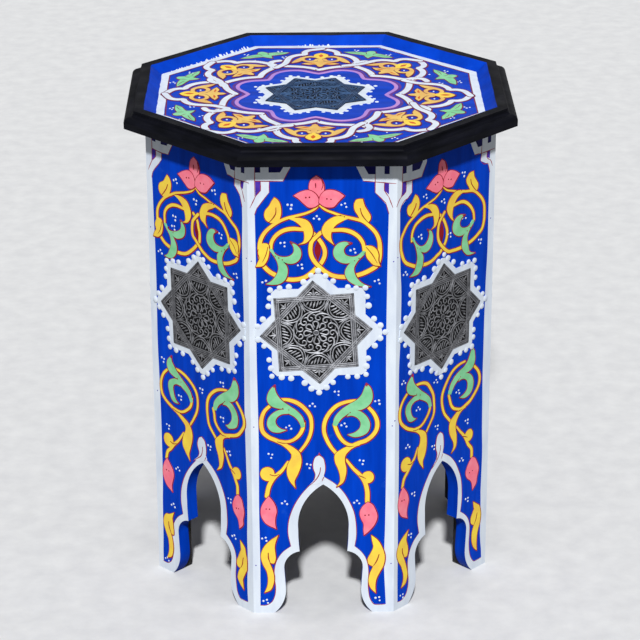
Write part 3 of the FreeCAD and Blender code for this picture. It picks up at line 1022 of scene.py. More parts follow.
def lower_right(art):
    """The spiral with its leaves below the star, right side."""
    art.begin("spiral right")
    art.stroke(
        "yellow", 1, (2.8, 4.0, 4.0, 3.7, 3.5),
        [(34, 244.6), (25, 243.4), (15, 239.6), (6.8, 231.4), (1.8, 221), (0.9, 211), (3.6, 201),
         (8.6, 191.6), (13.6, 185)],
    )
    art.stroke(
        "yellow", 2, (3.3, 4.2, 4.2, 4.4, 5.0),
        [(45.5, 237.5), (51.4, 230), (54.8, 221), (54, 211.6), (49.6, 204.6), (43, 199.4), (36.4, 197),
         (28, 192.6), (20, 187)],
    )
    art.stroke(
        "yellow", 2, (3.7, 3.8, 3.7, 3.3),
        [(11.6, 218), (13.6, 211.4), (17.4, 203), (22, 197.6), (28, 194.6), (36, 195.6)],
    )
    art.shape(
        "yellow", 2,
        [(38, 196.5), (28, 194.5), (18.6, 190), (12, 184), (12, 176), (15, 168), (17, 160), (17, 153)],
        [(13.6, 147), (20, 151.6), (23, 160), (23.6, 168), (22.2, 176), (22.6, 182.4), (27, 188.5)],
        [(40, 197)],
    )
    art.mark(3.2, 0.9, [(22.5, 194), (27, 192.8), (31.5, 193.6)])
    art.begin("sprout right")
    art.shape(
        "green", 4, [(43.6, 263.5), (47.4, 259.6), (50, 252), (49.2, 244), (45, 238), (38, 234.2)],
        [(31, 234), (24.6, 229.4), (18.6, 224.4)], [(13.8, 216)],
        [(9.6, 217.4), (12, 226.4), (18, 234.2), (26, 240.4), (34, 245.4), (39, 251.2), (41.2, 257)],
        root=(11.6, 217, 5),
    )
    art.shape(
        "green", 4,
        [(30, 235), (38.4, 232.2), (45, 225.6), (47.6, 217), (45.2, 209), (38, 204.6), (31, 203.8)],
        [(25, 206.5), (32.4, 209.2), (37.2, 214), (38, 220), (35, 225), (29, 227.8)], [(24, 227)],
    )
    art.shape("rose", 4.3, [(43.6, 264.4), (45.2, 261.8), (44.7, 260), (43, 260.6)], outline=0)
    art.mark(4.3, 0.8, [(41, 235.4), (35, 233.6), (30, 235)])
    art.dots(4.4, [(27.5, 231.5)], 0.7, "dark_red", 0.1)
    art.begin("spiral right")
    art.stroke(
        "yellow", 1, (2.4, 3.8, 4.4, 4.6),
        [(23.5, 178), (31, 167.6), (38, 160), (43, 151), (45, 142), (45.2, 130)],
    )
    art.shape(
        "yellow", 1,
        [(38.5, 158.5), (42.5, 163.6), (48, 164.4), (51.4, 160.4), (50.8, 154), (46.6, 151),
         (42.4, 152.4)],
    )
    art.mark(3.2, 0.9, [(36.5, 159.8), (40.5, 158), (43.5, 156.4)])
    art.begin("pink right")
    art.shape(
        "pink", 2, [(45.6, 129.4), (40.6, 124.6), (37.4, 117), (38.8, 110), (41.4, 104), (41.4, 97)],
        [(42, 90.8), (48, 96.6), (53.2, 104), (55.6, 113), (53.4, 121), (50, 127)],
    )
    art.dots(3.2, [(43, 114), (46.8, 114.4)], 0.8, "dark_red", 0.1)
    art.begin("foot right")
    art.shape(
        "yellow", 2,
        [(49.4, 91), (56, 85.2), (61, 76), (63.6, 66), (62.2, 55), (58.4, 47), (55, 39), (54, 32)],
        [(54.4, 22.5), (49.4, 28), (46.8, 36), (48, 45)],
        [(51.4, 54), (46.8, 57), (45.8, 62.4), (49, 70), (51.6, 77), (50.4, 84)],
    )
    art.mark(3.2, 1.2, [(57.6, 68), (55.4, 61), (51.8, 54.6)])


cluster_centres = [
    (-31, 454), (22, 455), (-5, 442), (-38, 414.5), (31, 407), (-21, 391), (-56, 374), (55, 374), (-34, 215),
    (-10, 239.5), (15, 253), (56, 242.5), (22, 217), (-14, 171), (40, 175), (-39, 129), (35, 129), (-60, 87),
    (-59.5, 13.5), (57.5, 15.5), (-53, 183),
]
cluster_shape = [(-3.3, 0.8), (0.4, 1.8), (1.2, -2.0)]
cluster_spin = 0.5
cluster_dot_radius = 1.15
cluster_dot_height = 0.25


def over_clusters(slips):
    """Slips of the groups of dots, in the order of their centres."""
    return [(*centre, *slip) for centre, slip in zip(cluster_centres, slips)]


# How the two sides beside the front differ from it: slips of the painter's hand in each form, each slip
# given as a place on the face and how far, across and up, the paint lies off it.
left_slips = {
    "frame": [
        (-66, 440, 1.4, 4), (-64, 452, 0.5, 4), (-51.5, 469, 1.7, 4), (-51.5, 480, 1.7, -1),
        (-38, 480.5, -2, 0), (51.5, 479, 3.9, -1), (51.5, 468, 3.9, 3.5), (63.5, 454, 1, 6),
        (40, 480, 5.5, 0), (33, 495, 6, 0), (-66, 400, 1.4, 0), (-66, 300, 1.6, 0), (-65.5, 200, 2.3, 0),
        (-66, 120, 2.2, 0), (-65.6, 60, 1, 0), (-66, 12, 0, 0), (64.2, 400, 0.7, 0), (63.4, 300, 1.4, 0),
        (64.2, 190, 0.7, 0), (63.6, 100, 1.6, 0), (62.8, 60, 2.8, 0), (65, 12, 0, 0), (-36.6, 94, 1.2, 0),
        (34, 95, 1.2, 0), (-51, 40, 0.8, 0), (46.5, 35, 0.8, 0), (-4, 157, 2, -1),
    ],
    "flower": [
        (-3.3, 457.5, 2.9, -0.5), (-28, 465.5, 2.2, -1.8), (21.5, 465, 5.4, 1.4), (-5, 484.5, 4, 1),
        (-13.5, 476, 5, 0),
    ],
    "scroll left": [
        (-3.2, 456, 2.9, -0.5), (-24, 445, 1, -0.5), (-43.5, 438, 1, -2), (-56, 427, 3, -1),
        (-61.6, 412, 3, 0), (-52.7, 386, 1.5, -0.5), (-36.8, 377.9, 0, 1.5), (-18.5, 379, 2, 1.5),
        (-6, 389.3, 5.5, 4.5), (2.3, 407.7, 2, 1), (-6, 422.7, 5, 2),
    ],
    "bud left": [(-46.8, 463.8, 4.6, -5.2), (-55.2, 440.2, 1.4, -3)],
    "scroll right": [
        (-3.2, 456, 2.9, -0.5), (20.7, 443.5, 3, 0.5), (39, 438.5, 3, 0), (56.5, 410, 4.8, 3),
        (55.7, 397.7, 3, 3), (47.3, 386.8, 4, 3), (20.7, 379.5, 4, 3.5), (4, 384.3, 4, 5),
        (-2.7, 390.2, 6, 4), (-11.8, 410.2, 5.6, 0), (-6, 422.3, 5, 1.5),
    ],
    "bud right": [(36, 461, 4.5, -2.5), (47, 443, 4, -1)],
    "lens": [(-4.5, 408, 5.2, 3)],
    "hook left": [
        (-22, 430.5, 1, -1.5), (-46, 423.5, 2, -1), (-50.8, 408.5, 3.4, -2), (-33, 441.5, 1, -1.5),
        (-9.3, 426.8, 2.3, -2), (-23.5, 414.2, 3, -0.5), (-13.5, 438.5, 1.5, -1.5),
    ],
    "hook right": [
        (14, 429.3, 6, 3.5), (29, 426.8, 5, 3.5), (39.8, 415.2, 5.5, 1), (27, 441.8, 4, 1),
        (-0.7, 428.5, 6.4, 0), (11.5, 413.5, 4.5, 3.8), (14, 443.8, 5, -0.5),
    ],
    "side buds": [
        (-58, 414, 1, -7), (-65.7, 391, 0, -4), (-52.7, 404, 2, -5), (42.3, 412.7, 5.5, 2),
        (57, 390.8, 2.7, 6.7), (55, 403, 4.7, 4),
    ],
    "leaf left": [
        (-51, 409, 3.6, -4), (-21.2, 402, 3.9, 0), (-30.5, 394, 0.5, 0), (-31.5, 417.3, 9, -2),
        (-25.5, 414, 5, -1), (-56, 372.6, 6.2, -3.3), (-34.5, 384, 4.5, -2), (-43.6, 388, 4.9, -2),
    ],
    "leaf right": [
        (11.1, 405, 4.2, 0), (22, 394, 3.6, 0.6), (28.5, 415.4, 1.8, 1), (41, 407, 4.4, 0.8),
        (22, 384.3, 8, 0), (47.5, 369, 3.5, 1.5), (32, 384, 5, 0),
    ],
    "spiral left": [
        (-40, 246, 4, -0.5), (-11.6, 219, 7.3, 0), (-23.5, 190, 6, 1), (-62.6, 222, 1.5, -0.5),
        (-53.5, 239.5, 2.5, 1), (-47.5, 200.5, 2, 0), (-20, 216, 6.5, 0), (-33, 199.5, 4, 0),
        (-28, 180, 8, 0), (-28.4, 146, 8.7, 0), (-56.9, 162.3, 4.4, -3), (-58, 137, 1, 0),
    ],
    "sprout left": [
        (-48.5, 262.5, 5, -3.5), (-56, 245, 6, 0), (-56.4, 217, 7.4, 4), (-45.5, 209.4, 6, -2.5),
        (-37, 212.2, 3, -5), (-20, 216, 6.5, 0),
    ],
    "pink left": [(-56, 137, 0, 0), (-48.5, 99, 0, 0), (-63.8, 118, 1.3, 0), (-48, 119, 2, 0)],
    "foot left": [
        (-46.6, 91.5, -0.5, -16.7), (-61.5, 24, 2, -8), (-64.8, 68, 1, -8), (-56, 59.5, 3.8, -11),
        (-50, 66, 1, -12), (-57.8, 39, 2, -9),
    ],
    "spiral right": [
        (0.9, 214, 8.8, 2), (25, 243.4, 8.5, 0.5), (13.6, 186, 8, 0), (54.8, 221, 9, -2),
        (45.5, 237.5, 8, -1.5), (49.6, 204.6, 7, -2), (36.4, 197, 5, -2), (17, 180, 9.6, 0),
        (11.7, 217, 7, 0), (17.4, 203, 4.6, -1), (28, 194.6, 4, -0.5), (13.6, 147, 8, 2.4),
        (45.5, 157.5, 4.7, -2.5), (45.2, 130, 6, 1),
    ],
    "sprout right": [
        (43.6, 263.5, 6.4, -1), (50, 250, 6.5, 0), (11.7, 217, 9, 1), (47.6, 217, 7.4, 0),
        (25, 206.5, 12, -1), (38, 204.6, 8, 0),
    ],
    "pink right": [(45.6, 129.4, 6, 1.6), (42, 90.8, 11.8, 1.4), (37.4, 117, 6.4, 0), (55.6, 113, 5, 0)],
    "foot right": [
        (49.4, 91, 5, -12.3), (54.4, 22.5, 4.6, -1), (63.6, 66, 1, -8), (45.8, 62.4, 3.6, -10),
        (58, 47, 3, -6),
    ],
    "finial": [(-4, 183.6, 3.9, -3), (-4, 165, 3, 0), (0.8, 160, 5, 0), (-14, 149.5, 1, 0)],
    "dots": over_clusters([
        (2, 1), (5, 2), (5, -2), (6, 0.5), (4, 6), (-13, 13), (0, -2.5), (0, 2), (3, 0), (12.3, -6.5),
        (18.5, -3), (-112.5, 6.5), (10.4, -7), (25.6, 1), (0, 0), (0, 0.5), (5, -9.4), (12.6, -4), (0, 0),
        (-11.5, 63.5), (1, -8),
    ]),
}
right_slips = {
    "frame": [
        (-66, 446, -2, 1), (-64, 452, -3, -1), (-51.5, 469, 0, -6.5), (-51.5, 480.5, 0, -5),
        (-38, 480.5, 0, -5), (-65.5, 480.5, 0, -4), (51.5, 468, -1, 0), (64, 450, 0, 6),
        (51.5, 479, 0, -3.5), (40, 480, 2, -3.5), (-66, 420, -2.5, 0), (-66, 330, -0.5, 0),
        (-66, 250, -1.7, 0), (-66, 180, -2, 0), (-66, 120, -1.7, 0), (-66, 40, -1.3, 0), (64, 400, 0, 0),
        (63.4, 300, -1.5, 0), (64, 190, -2.5, 0), (63.6, 110, -0.7, 0), (63, 60, 0.8, 0), (65, 12, 1.2, 0),
        (-36.6, 94, -1.2, 0), (34, 95, -1.5, 0), (-51, 40, -0.5, 0), (46.5, 35, -0.5, 0), (-4, 157, -1, 1),
    ],
    "flower": [
        (-3.3, 457.5, -2.5, 0), (-28, 465.5, -2.8, -4.5), (21.5, 465, -2.7, -2), (-5, 484.5, -3, 0),
        (-13.5, 476, 0, 0),
    ],
    "scroll left": [
        (-3.2, 456, -2.5, 0), (-24, 445, -1, 0), (-43.5, 438, -1, 0), (-54, 430, -4, 0),
        (-61.6, 410, -5.6, 0.5), (-58.5, 393, -4.6, 1.6), (-46, 381.8, -2.5, 1.8), (-36.8, 377.9, 0, 4),
        (-18.5, 379, 0, 4), (-6, 389.3, 0, 1), (2.3, 407.7, -1, 0), (-6, 422.7, -1, 2),
    ],
    "bud left": [(-46.8, 463.8, 0, -5), (-55.2, 440.2, -1.5, 0)],
    "scroll right": [
        (-3.2, 456, -2.5, 0), (20.7, 443.5, -1, 0), (46.5, 432.7, 2, 0), (56.5, 407, 1.3, 3),
        (47.3, 386.8, 1, 3), (20.7, 379.5, -1.5, 3.2), (-2.7, 390.2, -1, 0), (-11.8, 410.2, -1, -1),
        (-6, 422.3, -1, 2),
    ],
    "bud right": [(36, 461, 1, -2), (31.8, 449, -1.8, 1), (47.3, 443, 0.5, 0)],
    "lens": [(-4.5, 408, -2, 0)],
    "hook left": [
        (-29.3, 431, -1, 1.4), (-50.2, 416, -1, 3), (-9.3, 426.8, -2, 1), (-23.5, 414.2, 0, 1.5),
        (-33, 441.5, -1, 0.5), (-13.5, 438.5, -2, 0),
    ],
    "hook right": [
        (18, 429.3, 2, 3), (39.8, 415.2, 1, 1), (27, 441.8, 1, 1), (-0.7, 428.5, 1.2, 2),
        (11.5, 413.5, -0.5, 1.5),
    ],
    "leaf left": [
        (-52.4, 409, 0, 5), (-21.2, 402, 0, 1), (-30.5, 394, 0, 0), (-31.5, 417.3, 3, 0),
        (-56, 372.6, 1.4, 1.4), (-34.5, 384, -1, 1),
    ],
    "leaf right": [
        (11.1, 405, -1.4, 2), (22, 394, 0, 2), (41, 407, 0, 1), (47.5, 369, -3.7, 1.5), (22, 384, 1.7, 1),
    ],
    "spiral left": [
        (-62.6, 222, -4, 5), (-53.5, 239.5, -2.7, 6), (-47.5, 200.5, 0, 2), (-40, 246, 2, 5),
        (-11.6, 219, -3.3, 3), (-23.5, 190, -2.5, 5.5), (-28, 180, -4, 3), (-28.4, 146, -2.4, 7),
        (-56.9, 162.3, 0, 4), (-20, 216, 0, 4), (-35, 199, -1, 3), (-58, 137, -4, 5),
    ],
    "sprout left": [
        (-48.5, 262.5, 1, 3), (-56, 245, 0, 5), (-56.4, 217, -1.3, 7), (-45.5, 209.4, -3, 3),
        (-37, 212.2, -5, 1), (-20, 216, 0, 4),
    ],
    "spiral right": [
        (0.9, 213, -3, 7), (25, 243.4, -1, 8.5), (13.6, 186, -1.5, 6.5), (54.8, 222, 1.7, 7),
        (45.5, 237.5, 0.5, 7), (36.4, 197, -2, 4), (11.7, 217, -3, 4), (17, 180, -2.5, 3),
        (13.6, 147, 0, 7), (17.4, 203, -4, 4.5), (28, 194.6, -2, 6), (45.5, 157.5, -5, 7),
        (45.2, 130, 1, 8),
    ],
    "sprout right": [
        (43.6, 263.5, 0, 2), (50, 250, -1.5, 2), (47.6, 217, -1, 7), (31, 203.8, 1.5, 7),
        (25, 206.5, 0.5, 7), (11.7, 217, -2, 6),
    ],
    "pink left": [(-56, 137, -5, 5), (-48.5, 99, -5, 4), (-63.8, 118, -3.5, 4)],
    "pink right": [(45.6, 129.4, 1.4, 7.6), (42, 90.8, 7.4, 6), (37.4, 117, 0, 5), (55.6, 113, 2.4, 6)],
    "foot left": [(-46.6, 91.5, -5, -3), (-64.8, 68, -3.6, -1), (-61.5, 24, 0, 0), (-50, 62, -2, 0)],
    "foot right": [(49.4, 91, 1.6, -9), (54.4, 22.5, 4, -1.7), (45.8, 62.4, 2, 0), (63.6, 66, 0, -2)],
    "finial": [(-4, 183.6, -0.6, 1.6), (-4, 165, -1, 0)],
    "dots": over_clusters([
        (0, -1.5), (4.4, 5.4), (1.2, -2), (0, -2.5), (-3, 7), (26.7, 11), (-4, 4.7), (-2.7, 6.6), (-4, 8),
        (-0.6, 5.5), (-75, 7), (-64.5, -51.5), (2.3, 3.6), (0, 0), (-1.7, 6.7), (-5, -1.4), (-4, 10.5),
        (12.6, -7), (0, 0), (-16, 73), (-0.5, 2.7),
    ]),
}
hand_slips = {"front_left": left_slips, "front_right": right_slips}
front_brush = 1.0
side_brush = 0.8
side_wobble = 0.55
border_widths = {"front": 7.2, "front_right": 6.2, "front_left": 6.2}
border_shifts = {"front": (2.4, 0.0, -3.3)}
nail_heights = (57, 216, 396)
nail_inset = 3
nail_scatter = 1


def small_dots(art):
    """Little groups of three pale dots in the blue."""
    for x, y in cluster_centres:
        spin = art.random.uniform(-cluster_spin, cluster_spin)
        art.dots(1, turned(cluster_shape, spin, (x, y)), cluster_dot_radius, height=cluster_dot_height)


def paint_side(index, name):
    """All the paint on one side face."""
    turn = index * TURN
    centre, radius, tilt = star_frame("star_plate_" + name, side_axes(turn)[0], Z_AXIS)
    wobble, brush = (0.0, front_brush) if name == "front" else (side_wobble, side_brush)
    art = Painting("painted_ornament_" + name, side_place(turn), seed=10 + index, wobble=wobble, brush=brush)
    art.habits = hand_slips.get(name, {})
    side_frame(art, face_outline("side_panel_" + name, turn))
    side_corners(art)
    finial(art, red_tip=name not in hand_slips)
    flower(art)
    upper_scrolls(art, side_buds=name not in ("front_right", "rear_left"))
    upper_leaves(art)
    lower_left(art)
    lower_right(art)
    art.begin("dots")
    small_dots(art)
    star_border(art, centre, radius, tilt, border_widths.get(name, border_width), 6,
                shift=border_shifts.get(name, (0.0, 0.0, 0.0)), limit=dot_limit)
    for side in (-1, 1):
        for height in nail_heights:
            level = height + art.random.uniform(-nail_scatter, nail_scatter)
            art.dots(1, [(side * (face_half_width - nail_inset), level)], 0.7, "violet", 0.05)
    add_piece(art.name, art.mesh())


for side_index, side_name in enumerate(SIDES):
    paint_side(side_index, side_name)


# The pressed metal stars, drawn on a star lying flat with one tip up

metal_step = 0.9
plate_rise = 0.8
strap_width = 5.2
rail_offset = 1.95
rail_width = 0.85
band_rise = 1.15
rail_rise = 1.3
over_rise = 0.12
over_reach = 4.6
rail_trim = 0.3
middle_rail_width = rail_width * 0.8
middle_rail_rise = rail_rise - 0.1
relief_rise = 1.1
relief_crown = 0.3
petal_count = 8
hook_count = 13


def star_strap(art, index, middle, reach, lift):
    """A piece of one strap, reach long each way: a flat band with three raised rails."""
    apothem = star_apothem - strap_width / 2
    for offset, width, colour, rise in (
        (0, strap_width, "band", band_rise),
        (-rail_offset, rail_width, "ridge", rail_rise),
        (rail_offset, rail_width, "ridge", rail_rise),
        (0, middle_rail_width, "ridge", middle_rail_rise),
    ):
        trim = abs(offset) * rail_trim
        ends = [(apothem + offset, middle - reach + trim), (apothem + offset, middle + reach - trim)]
        line = smooth(turned(ends, index * TURN), metal_step * 4)
        crown = 0.0 if colour == "band" else relief_crown / 2
        art.ribbon(line, (width, width), colour, rise + lift + index * shape_lift, 0.0, crown)


def relief(art, widths, points):
    art.ribbon(smooth(points, art.step), widths, "ridge", relief_rise + art.level(0), 0.0, relief_crown)


def star_lunette(art, angle):
    """Two bows over a wave of small slanted leaves, standing on one strap of the inner octagon."""
    base = star_apothem - strap_width - 0.5
    for half, depth in ((13.4, 12.0), (11.0, 9.3)):
        shoulder, spread = base - depth * 0.62, half * 0.68
        bow = [(base, -half), (shoulder, -spread), (base - depth, 0), (shoulder, spread), (base, half)]
        relief(art, (0.8, 1.1, 0.8), turned(bow, angle))
    for place in (-6.4, -3.2, 0.0, 3.2, 6.4):
        depth = 7.0 * (1 - (place / 9.4) ** 2)
        leaf = [(base - 0.4, place - 1.0), (base - depth * 0.5, place), (base - depth, place + 1.3)]
        relief(art, (0.6, 1.6, 0.6), turned(leaf, angle))


def star_corner(art, angle):
    """The darts that fill the corner between two bows."""
    relief(art, (0.6, 1.5, 0.6), turned([(34.4, 0), (29, 0), (25, 0)], angle))
    for side in (-1, 1):
        dart = [(33.0, 1.9 * side), (29.4, 3.4 * side), (26.2, 6.0 * side)]
        relief(art, (0.5, 1.0, 0.5), turned(dart, angle))


def polar(points):
    """Points given as (radius, degrees) round the middle of the star."""
    return [(r * math.cos(math.radians(a)), r * math.sin(math.radians(a))) for r, a in points]


def star_hook(art, angle):
    """A scroll of the rosette's outer ring."""
    sweep = [(22.8, -42), (22.6, -30), (21.8, -17), (20.2, -4), (17.8, 4.5), (15.3, 5), (13.8, -1),
             (14.2, -9), (16.0, -11.5), (17.4, -6)]
    relief(art, (0.5, 0.9, 1.4, 1.4, 1.1, 0.8), turned(polar(sweep), angle))
    inner = [(19.6, -14), (19.2, -20), (17.8, -25)]
    relief(art, (0.5, 0.9, 0.5), turned(polar(inner), angle))


def star_petal(art, angle):
    """A petal of the middle flower: a round loop with its open side to the middle."""
    loop = [(4.4, -0.9), (7.0, -2.1), (9.6, -2.9), (11.8, -1.6), (12.3, 0.6), (10.9, 2.5), (8.4, 2.2),
            (6.2, 1.2)]
    relief(art, (1.2, 1.6, 1.3, 1.2, 1.3, 1.0), turned(loop, angle))


def star_tip(art, angle):
    """Three leaves in the dark point of the star."""
    base = star_apothem + 0.6
    relief(art, (0.8, 1.7, 0.5), turned([(base, 0), (base + 3.2, 0), (base + 6.6, 0)], angle))
    for side in (-1, 1):
        leaf = [(base + 0.2, 0.9 * side), (base + 2.6, 2.4 * side), (base + 2.7, 4.6 * side)]
        relief(art, (0.8, 1.5, 0.5), turned(leaf, angle))
        low = [(base + 0.3, 2.6 * side), (base + 0.9, 4.9 * side), (base + 0.4, 7.2 * side)]
        relief(art, (0.7, 1.1, 0.4), turned(low, angle))


def star_mesh():
    """A star plate with its pressed pattern, to be shared by every star."""
    art = Painting("pressed_star", lambda x, y, rise: Vector((x, y, rise)) * MM, step=metal_step)
    art.prism([star_points(star_radius, (0, 0), 0.0)], "ground", plate_rise, 0.0)
    half = star_apothem - strap_width / 2
    crossing = half * math.tan(HALF_TURN)
    for index in range(8):
        star_strap(art, index, 0.0, half, 0.0)
    for index in range(8):
        star_strap(art, index, crossing, over_reach, over_rise)
        star_lunette(art, index * TURN)
        star_corner(art, (index + 0.5) * TURN)
        star_tip(art, index * TURN)
    for index in range(hook_count):
        star_hook(art, index * 2 * math.pi / hook_count)
    for index in range(petal_count):
        star_petal(art, index * 2 * math.pi / petal_count)
    art.dome(0, 0, 3.0, "band", relief_rise, 0.3)
    relief(art, (1.0, 1.0), polar([(2.4, step * 30) for step in range(13)]))
    return art.mesh()


def toned_copy(mesh, tones):
    """The same star with swapped materials: a brighter copy as painted highlight, a bluish copy as painted
    sky reflection.
    """
    copy = mesh.copy()
    for index, material in enumerate(mesh.materials):
        copy.materials[index] = tones[material.name]
    return copy


def place_star(name, mesh, origin, across, up, out):
    """One pressed star in its plate's place, turned and sized like the plate."""
    node = "star_plate_" + name
    centre, radius, tilt = star_frame(node, across, up)
    middle = (origin + across * centre[0] + up * centre[1]) * MM
    first = across * math.cos(tilt) + up * math.sin(tilt)
    second = up * math.cos(tilt) - across * math.sin(tilt)
    rotation = Matrix((first, second, out)).transposed().to_4x4()
    size = radius / star_radius
    matrix = Matrix.Translation(middle) @ rotation @ Matrix.Diagonal((size, size, 1, 1))
    piece = add_piece("pressed_star_" + name, mesh, matrix)
    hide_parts(node)


def place_stars():
    mesh = star_mesh()
    for index, name in enumerate(SIDES):
        across, out = side_axes(index * TURN)
        # Painted highlight: the front star takes the brighter copy of its metal.
        made = toned_copy(mesh, FRONT_LIGHT_TONES) if name == "front" else mesh
        place_star(name, made, out * body_apothem, across, Z_AXIS, out)
    # Painted reflection: the top star takes the bluish copy that stands for the sky mirrored in it.
    place_star("top", toned_copy(mesh, SKY_TINT_TONES), Z_AXIS * board_top, X_AXIS, Y_AXIS, Z_AXIS)


# The painted table board, in millimetres from its middle

pattern_centre = (-2.5, -3.5)
frame_turns = (-2.2, 0.6, -2.2, 0.3, -2.2, 1.2, -2.2, 0.0)
border_outer = 166.0
border_inner = 157.8
cartouche_width = 6.6
cartouche_line = 1.4
top_line = 1.2
top_dot_radius = 2.1
top_wobble = 0.7
top_cluster_radius = 1.1
board_line_width = 1.4
board_line_rise = 0.2
board_border_rise = 0.16
board_border_rough = (0.35, 0.3)
rim_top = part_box("rim_moulding_front")[1].z / MM
bevel_foot = 166.2
bevel_width = 10.5

# Splashes on the bevel: the direction of a side in degrees, where they start and end along it, how many.
splash_rows = ((135, -58, 66, 30), (90, -14, 22, 9))
splash_widths = (1.8, 2.4, 1.6)
splash_lengths = (0.9, 2.6)
splash_lean = 0.7
splash_scatter = 0.45


def octagon(apothem, rough=None, spread=0.0, pieces=20):
    """An octagon with flats on the axes, its points moved in or out at random by up to the spread."""
    radius = apothem / math.cos(HALF_TURN)
    corners = [(radius * math.cos((k + 0.5) * TURN), radius * math.sin((k + 0.5) * TURN)) for k in range(8)]
    loop = []
    for a, b in zip(corners, corners[1:] + corners[:1]):
        for step in range(pieces):
            share = step / pieces
            x, y = a[0] + (b[0] - a[0]) * share, a[1] + (b[1] - a[1]) * share
            if rough:
                out = 1 + rough.uniform(-spread, spread) / apothem
                x, y = x * out, y * out
            loop.append((x, y))
    return loop


def cartouche(art, angle):
    """The four white bands of one frame of the ring. At its shoulders they hook into the next frame's."""
    def band(layer, *edges):
        line = []
        for edge in edges:
            line += smooth(turned(edge, angle, pattern_centre))
        base = art.level(layer)
        wide = cartouche_width + 2 * cartouche_line
        art.ribbon(art.slipped(line), (wide, wide), art.line_colour, base + line_rise, crown=0.0)
        art.ribbon(line, (cartouche_width, cartouche_width), "white", base + colour_rise)

    band(3, [(157.5, 1), (154.5, -6), (150, -13.5), (144, -17), (137.5, -17)],
         [(137.5, -17), (135.5, -23), (132, -28.5), (126.5, -33.5), (119, -37), (112, -38.5), (104, -40)])
    band(3, [(84, 0), (90.5, 10), (94, 20), (95.5, 30), (96, 38)])
    band(3.5, [(84, 0), (90.5, -10), (94.5, -20), (96.5, -29), (99.5, -34.5), (106, -36.5), (111, -41),
               (113, -47), (110.5, -54)])
    band(4, [(157.5, -1), (155, 5.5), (150, 15), (144, 18), (137, 17.5)],
         [(137, 17.5), (134.5, 25), (130, 31), (124, 34.5), (117, 36), (110, 37), (104, 38.5), (97, 42.5),
          (90, 47)])


def palmette(art, angle):
    """The yellow flower inside a frame, pointing outward."""
    def local(points):
        return turned(points, angle, pattern_centre)
    for side in (-1, 1):
        def at(points):
            return local([(u, v * side) for u, v in points])
        art.shape(
            "amber", 5, at([(130.5, 12), (128, 19), (122, 24.5), (115, 28.5)]),
            at([(106, 31.5), (109.5, 25), (113.5, 21)]), at([(118, 19.5), (125, 17)]), outline=top_line,
        )
        art.stroke(
            "amber", 5, (4.2, 4.2),
            at([(127.5, 5.5), (129, 11.5), (126.6, 17.4), (120.8, 19.9), (115, 17.6), (112.4, 12),
                (114.6, 6), (119.5, 3.9)]),
            outline=top_line,
        )
        art.dots(5, at([(120.5, 11.8)]), 1.0)
        art.shape(
            "amber", 5, at([(113, 3), (109.5, 9), (107, 15)]), at([(104, 20), (101, 12), (102, 5)]),
            at([(100, 3.5), (106, 1)]), outline=top_line,
        )
        art.shape("orange", 5.6, at([(105, 15), (106, 9)]), at([(106, 4), (103.6, 9)]), outline=0)
    art.shape(
        "amber", 5, local([(100, 3.5), (96, 2.4)]), local([(93.5, 0), (96, -2.4)]),
        local([(100, -3.5), (101, 0)]), outline=top_line,
    )
    art.stroke("amber", 5, (6, 6), local([(101, 0), (112, 0), (123, 0)]), outline=top_line)
    art.shape(
        "yellow", 5.4, local([(119, 0), (124, 4.4), (130, 7.6), (135, 7.4), (139.5, 4)]),
        local([(142, 0), (139.5, -4), (135, -7.4), (130, -7.6), (124, -4.4)]), outline=top_line,
    )
    art.shape("orange", 5.8, local([(126.5, 0), (132, 2.4)]), local([(137.5, 0), (132, -2.4)]), outline=0)


def sprig(art, angle):
    """The green leaves by each corner of the board: two wings and two short points."""
    def local(points):
        return turned(points, angle, pattern_centre)
    edges = [
        [(152, 5.5), (156, 4.5), (159, 1), (158.5, -2.5), (155, -4.5)],
        [(152.3, -6), (151.8, -12), (149.5, -20)],
        [(145.5, -28), (142.4, -20), (142.6, -12)],
        [(142.6, -6), (139, -4.5)],
        [(134, -3.5), (137.5, 0.5)],
        [(142.4, 4), (143, 12), (143.2, 20)],
        [(146, 28), (149.5, 20), (151.5, 12)],
    ]
    art.shape("green", 2, *[local(edge) for edge in edges], outline=top_line)
    veins = [
        (1.0, [(152, 5.5), (149, 3.8), (146, 3.4)]), (1.0, [(152.3, -6), (149, -4.6), (146, -4.4)]),
        (0.8, [(147, 22), (147.2, 14), (146, 8)]), (0.8, [(146.4, -22), (147.2, -15), (146.2, -10)]),
    ]
    for width, vein in veins:
        art.mark(2.6, width, local(vein), "plum")
    for place in ((133, 17), (155, 17), (133, -17), (153, -20)):
        spot = local([place])[0]
        group = turned(cluster_shape, art.random.uniform(0, 6), spot)
        art.dots(1, group, top_cluster_radius, height=cluster_dot_height)


def lobed_line(art, colour, layer, width, reach):
    """The eight-lobed line round the star, its cusps on the frames."""
    half = [(71, 0), (73.7, 3.9), (77.6, 7.4), (81.4, 10.6), (84.2, 13.7), (86.5, 18), (87.2, 22.5)]
    lobe = half + [(r, 45 - degrees) for r, degrees in half[-2::-1]]
    for index in range(8):
        first = 45 * index + frame_turns[index]
        last = 45 * (index + 1) + frame_turns[(index + 1) % 8]
        arc = polar([(r + reach, first + (last - first) * degrees / 45) for r, degrees in lobe])
        art.stroke(colour, layer, (width, width), turned(arc, 0.0, pattern_centre), outline=0)


def bevel_place(x, y, rise):
    """The place of a point on the sloping inner side of the rim."""
    reach = max(abs(x), abs(y), (abs(x) + abs(y)) * ROOT_HALF) - bevel_foot
    return Vector((x, y, board_top + max(reach, 0.0) * (rim_top - board_top) / bevel_width + rise)) * MM


